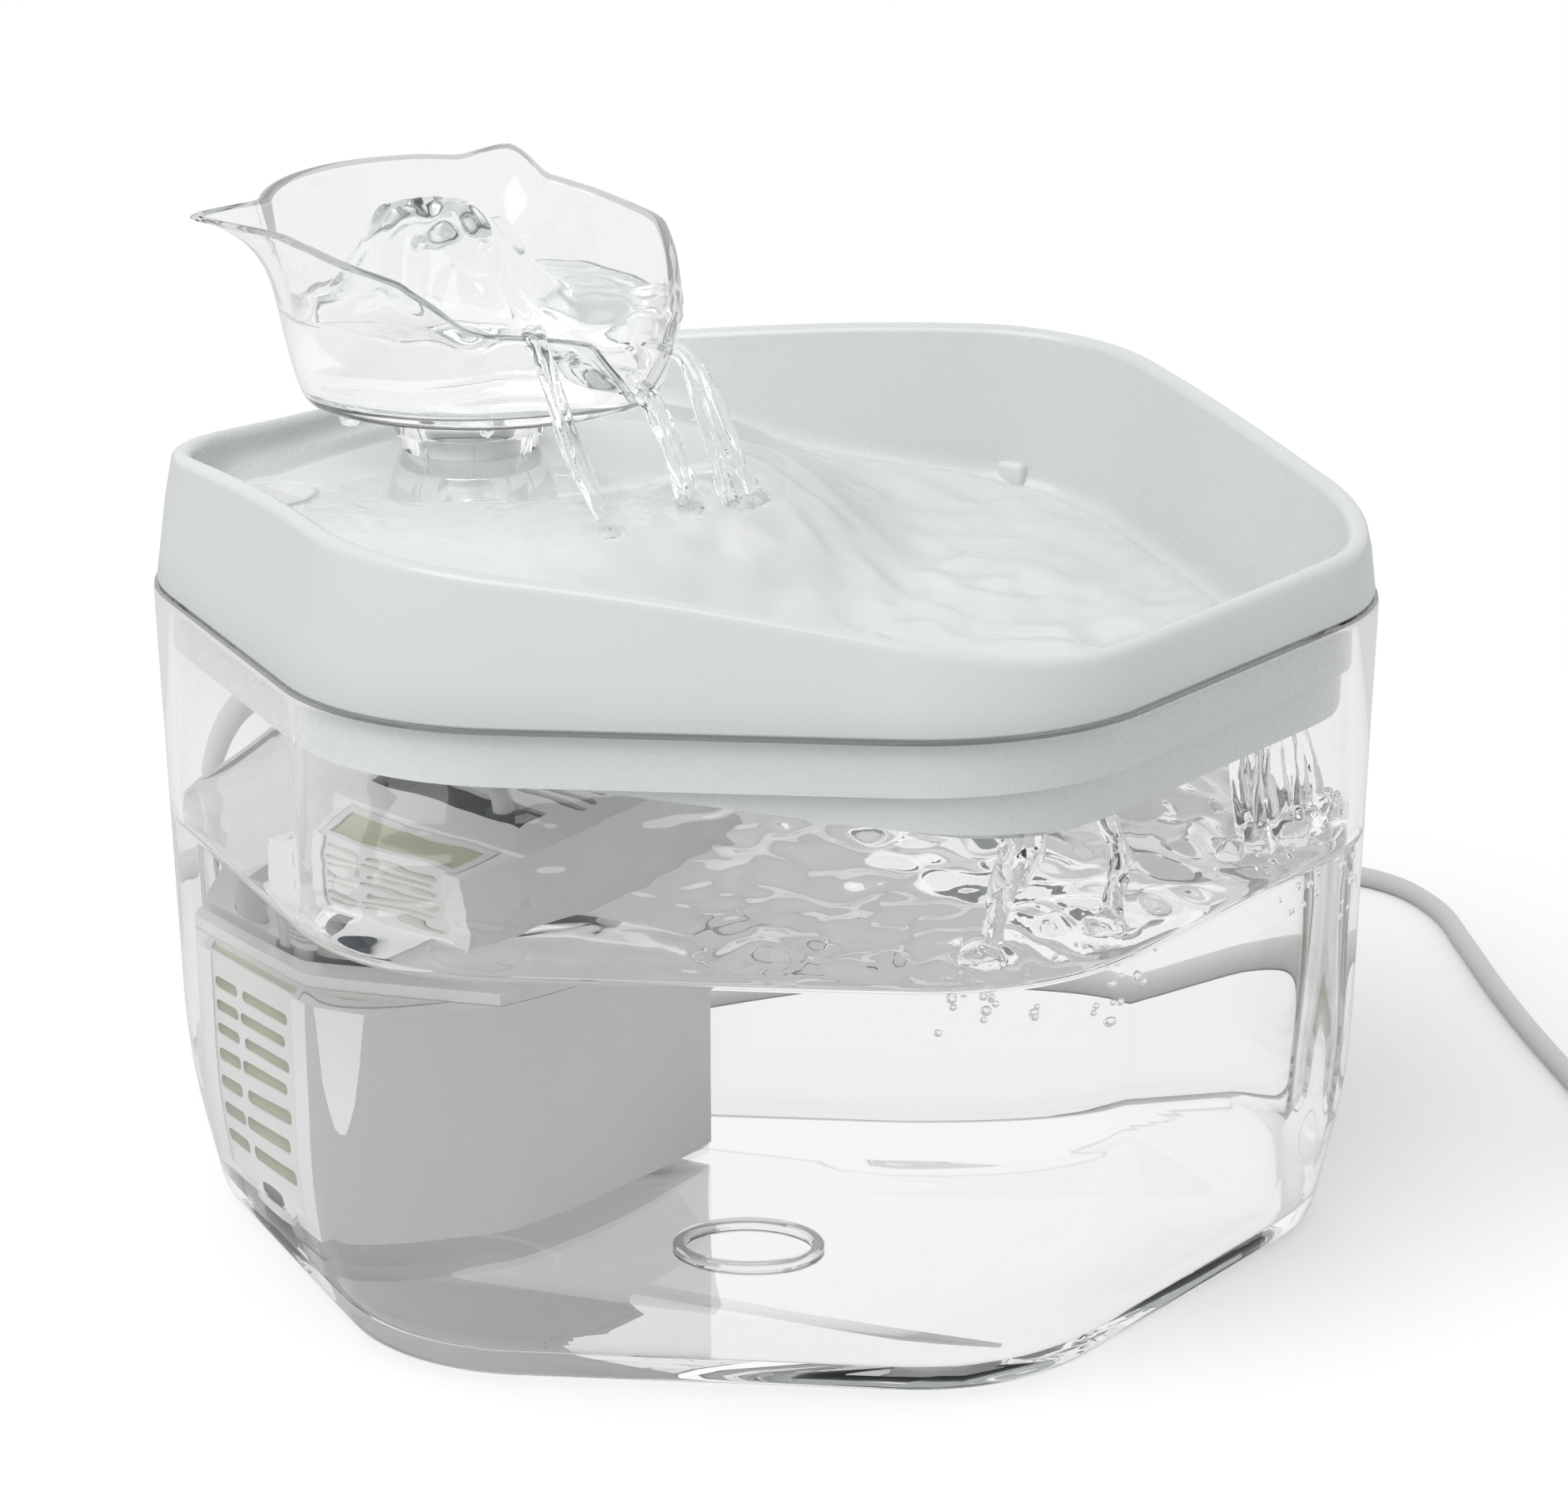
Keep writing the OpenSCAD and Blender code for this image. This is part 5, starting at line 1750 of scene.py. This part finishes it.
@dataclass
class PumpHousing:
    """Finishes of the submerged housing, its cartridges and the pump inside."""

    def build(self, looks: Finishes) -> None:
        """Dress the housing's nodes.

        Args:
            looks: the finishes.
        """
        plan = {
            "housing_tub": looks.housing, "housing_lid": looks.housing, "suction_cups": looks.rubber,
            "left_cartridge": looks.cartridge, "right_cartridge": looks.cartridge,
            "left_filter_media": looks.felt, "right_filter_media": looks.felt,
            "riser_tube": looks.riser, "riser_seal": looks.rubber, "pump_body": looks.pump,
            "pump_cover": looks.pump, "flow_slider": looks.cap, "pump_seal": looks.rubber,
            "pump_sponge": looks.foam, "stator_core": looks.core, "stator_coils": looks.copper,
            "pump_board": looks.board, "potting_resin": looks.resin, "impeller": looks.cartridge,
            "rotor_magnet": looks.ferrite, "rotor_shaft": looks.ceramic, "shaft_bushes": looks.rubber,
            "pump_gland": looks.rubber}
        for name, finish in plan.items():
            dress(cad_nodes()[name], finish)
        LOG.info("housing with %d dressed nodes", len(plan))


# ---------------------------------------------------------------- cord


@dataclass
class PowerLead:
    """The power lead: grommet, run along the surface, coil, tie and plug."""

    d: float = 3.8
    coil_at: tuple[float, float] = (125.0, -129.0)
    coil_r: float = 21.0
    tie_t: float = 0.6
    plug_at: tuple[float, float, float] = (134.0, -117.0, 16.0)

    def route(self) -> list[Vector]:
        """Centre line from the grommet to the coil.

        Returns:
            The dense line in millimetres.
        """
        x, lie = CORD_X, self.d / 2
        points = [(x, 90, 101.5), (x, 97, 101.5), (x, 102, 100.8), (x, 107, 98), (x, 110, 93),
                  (x, 112, 85), (x, 113, 72), (-11, 114, 58), (-9, 115, 44), (-6, 116, 30), (-1, 118, 18),
                  (7, 120, 9), (19, 122, 4.6), (32, 123, 2.4), (46, 123, lie), (64, 121, lie), (85, 116, lie),
                  (108, 108, lie), (133, 95, lie), (156, 78, lie), (176, 58, lie), (192, 36, lie),
                  (202, 14, lie), (203, -5, lie), (194, -21, lie), (178, -36, lie), (160, -52, lie),
                  (142, -69, lie),
                  (125, -86, lie), (112, -99, lie), (103, -113, lie),
                  (self.coil_at[0] - self.coil_r - self.d, self.coil_at[1], lie)]
        return catmull(points, 5)

    def coil(self) -> list[Vector]:
        """Centre line of the coil: eight and a half turns in three layers.

        Returns:
            The dense line in millimetres.
        """
        r, d = self.coil_r, self.d
        wide = [r + d, r, r - d, r - d, r, r + d, r + d, r, r - d]
        high = [self.tie_t + d * (0.5 + k) for k in (0, 0, 0, 1, 1, 1, 2, 2, 2)]
        steps, out = 36, []
        for i in range(1, int(8.5 * steps) + 1):
            turn, part = divmod(i, steps)
            share = part / steps
            now, before = wide[turn], wide[max(turn - 1, 0)]
            radius = mix(before, now, smooth(share / 0.09)) if share < 0.09 else now
            height = mix(high[turn], high[min(turn + 1, 8)], smooth((share - 0.91) / 0.09))
            if turn == 0 and share < 0.1:
                height = mix(d / 2, high[0], smooth(share / 0.1))
            a = math.pi + math.tau * i / steps
            out.append(Vector((self.coil_at[0] + radius * math.cos(a),
                               self.coil_at[1] + radius * math.sin(a), height)))
        return out

    def tail(self) -> list[Vector]:
        """Centre line from the last turn up to the plug.

        Returns:
            The dense line in millimetres, without its first point.
        """
        x, y = self.coil_at[0] + self.coil_r - self.d, self.coil_at[1]
        top = self.tie_t + 2.5 * self.d
        return catmull([(x, y, top), (x - 0.4, y + 4.4, top + 0.8), (x - 2.4, y + 8.2, top + 2.6),
                        (x - 5.2, y + 10.8, top + 4.8), self.plug_at], 4)[1:]

    def inside(self) -> list[Vector]:
        """Centre line inside the tank, from the pump's gland to the grommet.

        Returns:
            The dense line in millimetres.
        """
        x = CORD_X
        return catmull([(x, 46, 38), (x, 46, 47), (x, 49, 54), (x, 55, 59), (x, 63, 64), (x, 71, 71),
                        (x, 77, 80), (x, 79, 90), (x, 80.5, 97), (x, 84, 101), (x, 90, 101.5)], 6)

    def build(self, looks: Finishes) -> None:
        """Lay the lead and dress what sits on it.

        Args:
            looks: the finishes.
        """
        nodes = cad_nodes()
        line = self.route() + self.coil() + self.tail()
        lead = curve_piece("power_lead", line, self.d / 2, looks.cord)
        ride(lead, "tank", "cord_jacket", "power_cord", "cord_coil", "cord_tail")
        fittings = {"cord_grommet": looks.rubber, "cord_tie": looks.tie, "plug_grip": looks.plug,
                    "plug_shell": looks.nickel, "plug_tongue": looks.plug}
        for name, finish in fittings.items():
            dress(nodes[name], finish)
        short = curve_piece("inner_lead", self.inside(), self.d / 2, looks.cord)
        ride(short, "tank", "cord_jacket", "inner_cord")


def curve_piece(name: str, line: Sequence[Vector], radius: float,
                material: bpy.types.Material) -> bpy.types.Object:
    """Round curve of one open spline.

    Args:
        name: the piece's name.
        line: centre line in millimetres.
        radius: radius in millimetres.
        material: its finish.

    Returns:
        The new curve object.
    """
    data = bpy.data.curves.new(name, "CURVE")
    data.dimensions = "3D"
    data.bevel_depth = radius * MM
    data.bevel_resolution = 4
    data.use_fill_caps = True
    spline = data.splines.new("POLY")
    spline.points.add(len(line) - 1)
    for point, p in zip(spline.points, line):
        point.co = (*(p * MM), 1)
    spline.use_smooth = True
    data.materials.append(material)
    obj = bpy.data.objects.new(name, data)
    bpy.context.scene.collection.objects.link(obj)
    return obj


# ---------------------------------------------------------------- studio


@dataclass
class Studio:
    """Camera, floor, lamps and world."""

    place: tuple[float, float, float] = (-0.6566, -0.4825, 0.3204)
    aim: tuple[float, float, float] = (0.7751, 0.5645, -0.2839)
    lens: float = 118.56
    roll: float = -0.0039
    sky: float = 0.72
    key_at: tuple[float, float, float] = (-0.84, 0.02, 1.24)
    key_size: float = 1.0
    key_watts: float = 10.0
    tone: float = 0.92
    bounce: float = 0.74
    glow: float = 0.16
    # painted shadow: distance from the middle and glow strength at which the floor seen through the clear
    # walls is dimmest and brightest
    under: tuple[tuple[float, float], tuple[float, float]] = ((0.08, 0.52), (0.11, 0.9))
    fade: tuple[float, float] = (0.16, 0.4)

    def build(self) -> None:
        """Set up everything that isn't the object."""
        self.camera()
        self.floor()
        self.world()
        self.lamp("key", self.key_at, self.key_size, self.key_watts)
        bpy.context.scene.view_settings.view_transform = "Standard"

    def camera(self) -> None:
        """Place the camera."""
        data = bpy.data.cameras.new("camera")
        data.lens = self.lens
        data.sensor_width = 36
        data.clip_start, data.clip_end = 0.01, 20
        cam = bpy.data.objects.new("camera", data)
        cam.location = self.place
        cam.rotation_mode = "QUATERNION"
        turn = Vector(self.aim).to_track_quat("-Z", "Y").to_matrix() @ Matrix.Rotation(self.roll, 3, "Z")
        cam.rotation_quaternion = turn.to_quaternion()
        bpy.context.scene.collection.objects.link(cam)
        bpy.context.scene.camera = cam

    def floor(self) -> None:
        """Pale floor that keeps the object's shadow."""
        bm = bmesh.new()
        bmesh.ops.create_grid(bm, x_segments=4, y_segments=4, size=8.0)
        mesh = bpy.data.meshes.new("floor")
        bm.to_mesh(mesh)
        bm.free()
        obj = bpy.data.objects.new("floor", mesh)
        bpy.context.scene.collection.objects.link(obj)
        mesh.materials.append(self.floor_material())

    def floor_material(self) -> bpy.types.Material:
        """Floor that turns white away from the object.

        The camera sees a lit floor with the shadow, which fades into plain white. Rays through the
        clear walls see a glow with a painted shadow under the object, where it is dimmer, and all other rays
        a duller floor.

        Returns:
            The new material.
        """
        n = Nodes("pale floor")
        path = n.add("ShaderNodeLightPath")
        place = n.add("ShaderNodeTexCoord")
        away = n.add("ShaderNodeVectorMath", operation="LENGTH")
        n.link(place.outputs["Object"], away.inputs[0])

        lit = n.add("ShaderNodeAddShader")
        glow = n.add("ShaderNodeEmission")
        glow.inputs["Strength"].default_value = self.glow
        n.link(n.diffuse(self.tone), lit.inputs[0])
        n.link(glow.outputs["Emission"], lit.inputs[1])
        fade = n.add("ShaderNodeMapRange", interpolation_type="SMOOTHSTEP")
        fade.inputs["From Min"].default_value, fade.inputs["From Max"].default_value = self.fade
        n.link(away.outputs["Value"], fade.inputs["Value"])
        white = n.add("ShaderNodeEmission")
        seen = n.either(fade.outputs["Result"], lit.outputs["Shader"], white.outputs["Emission"])

        # painted shadow: the glow seen through the clear walls is dimmed under the object
        (near, shadow_strength), (far, full) = self.under
        reach = n.add("ShaderNodeMapRange")
        for name, value in (("From Min", near), ("From Max", far), ("To Min", shadow_strength), ("To Max", full)):
            reach.inputs[name].default_value = value
        n.link(away.outputs["Value"], reach.inputs["Value"])
        shadowed_glow = n.add("ShaderNodeEmission")
        n.link(reach.outputs["Result"], shadowed_glow.inputs["Strength"])

        direct = n.either(path.outputs["Is Camera Ray"], n.diffuse(self.bounce), seen)
        behind = n.either(path.outputs["Is Transmission Ray"], direct, shadowed_glow.outputs["Emission"])
        n.link(behind, n.out.inputs["Surface"])
        return n.material

    def world(self) -> None:
        """Even white surroundings, plain white wherever they are seen."""
        world = bpy.data.worlds.new("studio")
        bpy.context.scene.world = world
        world.use_nodes = True
        tree = world.node_tree
        tree.nodes.clear()
        out = tree.nodes.new("ShaderNodeOutputWorld")
        light = tree.nodes.new("ShaderNodeBackground")
        light.inputs["Color"].default_value = (1, 1, 1, 1)
        light.inputs["Strength"].default_value = self.sky
        seen = tree.nodes.new("ShaderNodeBackground")
        seen.inputs["Color"].default_value = (1, 1, 1, 1)
        path = tree.nodes.new("ShaderNodeLightPath")
        either = tree.nodes.new("ShaderNodeMixShader")
        shown = path.outputs["Is Camera Ray"]
        for kind in ("Is Glossy Ray", "Is Transmission Ray"):
            most = tree.nodes.new("ShaderNodeMath")
            most.operation = "MAXIMUM"
            tree.links.new(shown, most.inputs[0])
            tree.links.new(path.outputs[kind], most.inputs[1])
            shown = most.outputs["Value"]
        tree.links.new(shown, either.inputs["Fac"])
        tree.links.new(light.outputs["Background"], either.inputs[1])
        tree.links.new(seen.outputs["Background"], either.inputs[2])
        tree.links.new(either.outputs["Shader"], out.inputs["Surface"])

    def lamp(self, name: str, at: tuple[float, float, float], size: float, watts: float) -> None:
        """Soft square lamp aimed at the object.

        Args:
            name: the lamp's name.
            at: its place in metres.
            size: length of its side in metres.
            watts: its power.
        """
        data = bpy.data.lights.new(name, "AREA")
        data.size = size
        data.energy = watts
        obj = bpy.data.objects.new(name, data)
        obj.location = at
        obj.rotation_mode = "QUATERNION"
        obj.rotation_quaternion = (Vector((0, 0, 0.08)) - Vector(at)).to_track_quat("-Z", "Y")
        bpy.context.scene.collection.objects.link(obj)


# ---------------------------------------------------------------- assembly


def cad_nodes() -> dict[str, bpy.types.Object]:
    """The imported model's nodes by name."""
    return FRAME["nodes"]


def ride(obj: bpy.types.Object, body: str, slot: str | None = None, *stands_for: str) -> None:
    """Fix a piece to its body.

    Args:
        obj: the finished piece.
        body: the body it moves with.
        slot: material slot of the record, or None for what the record does not list; not used.
        stands_for: CAD nodes it is shown in place of.
    """
    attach(obj, body)
    LOG.info("piece %s on %s", obj.name, body)
    if stands_for:
        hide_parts(*stands_for)


def main() -> None:
    """Build the studio and every sub-assembly in order."""
    logging.basicConfig(level=logging.INFO, format="%(name)s: %(message)s")
    FRAME.update(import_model())
    Studio().build()
    looks = Finishes()
    PowerLead().build(looks)
    tank = Tank()
    tray = DrinkingTray()
    bowl = SpoutBowl()
    tank.build(looks)
    tray.build(looks)
    bowl.build(looks)
    PumpHousing().build(looks)
    Water(tank, DrinkingTray(outline=FINE), bowl).build(looks)


if __name__ == "__main__":
    main()
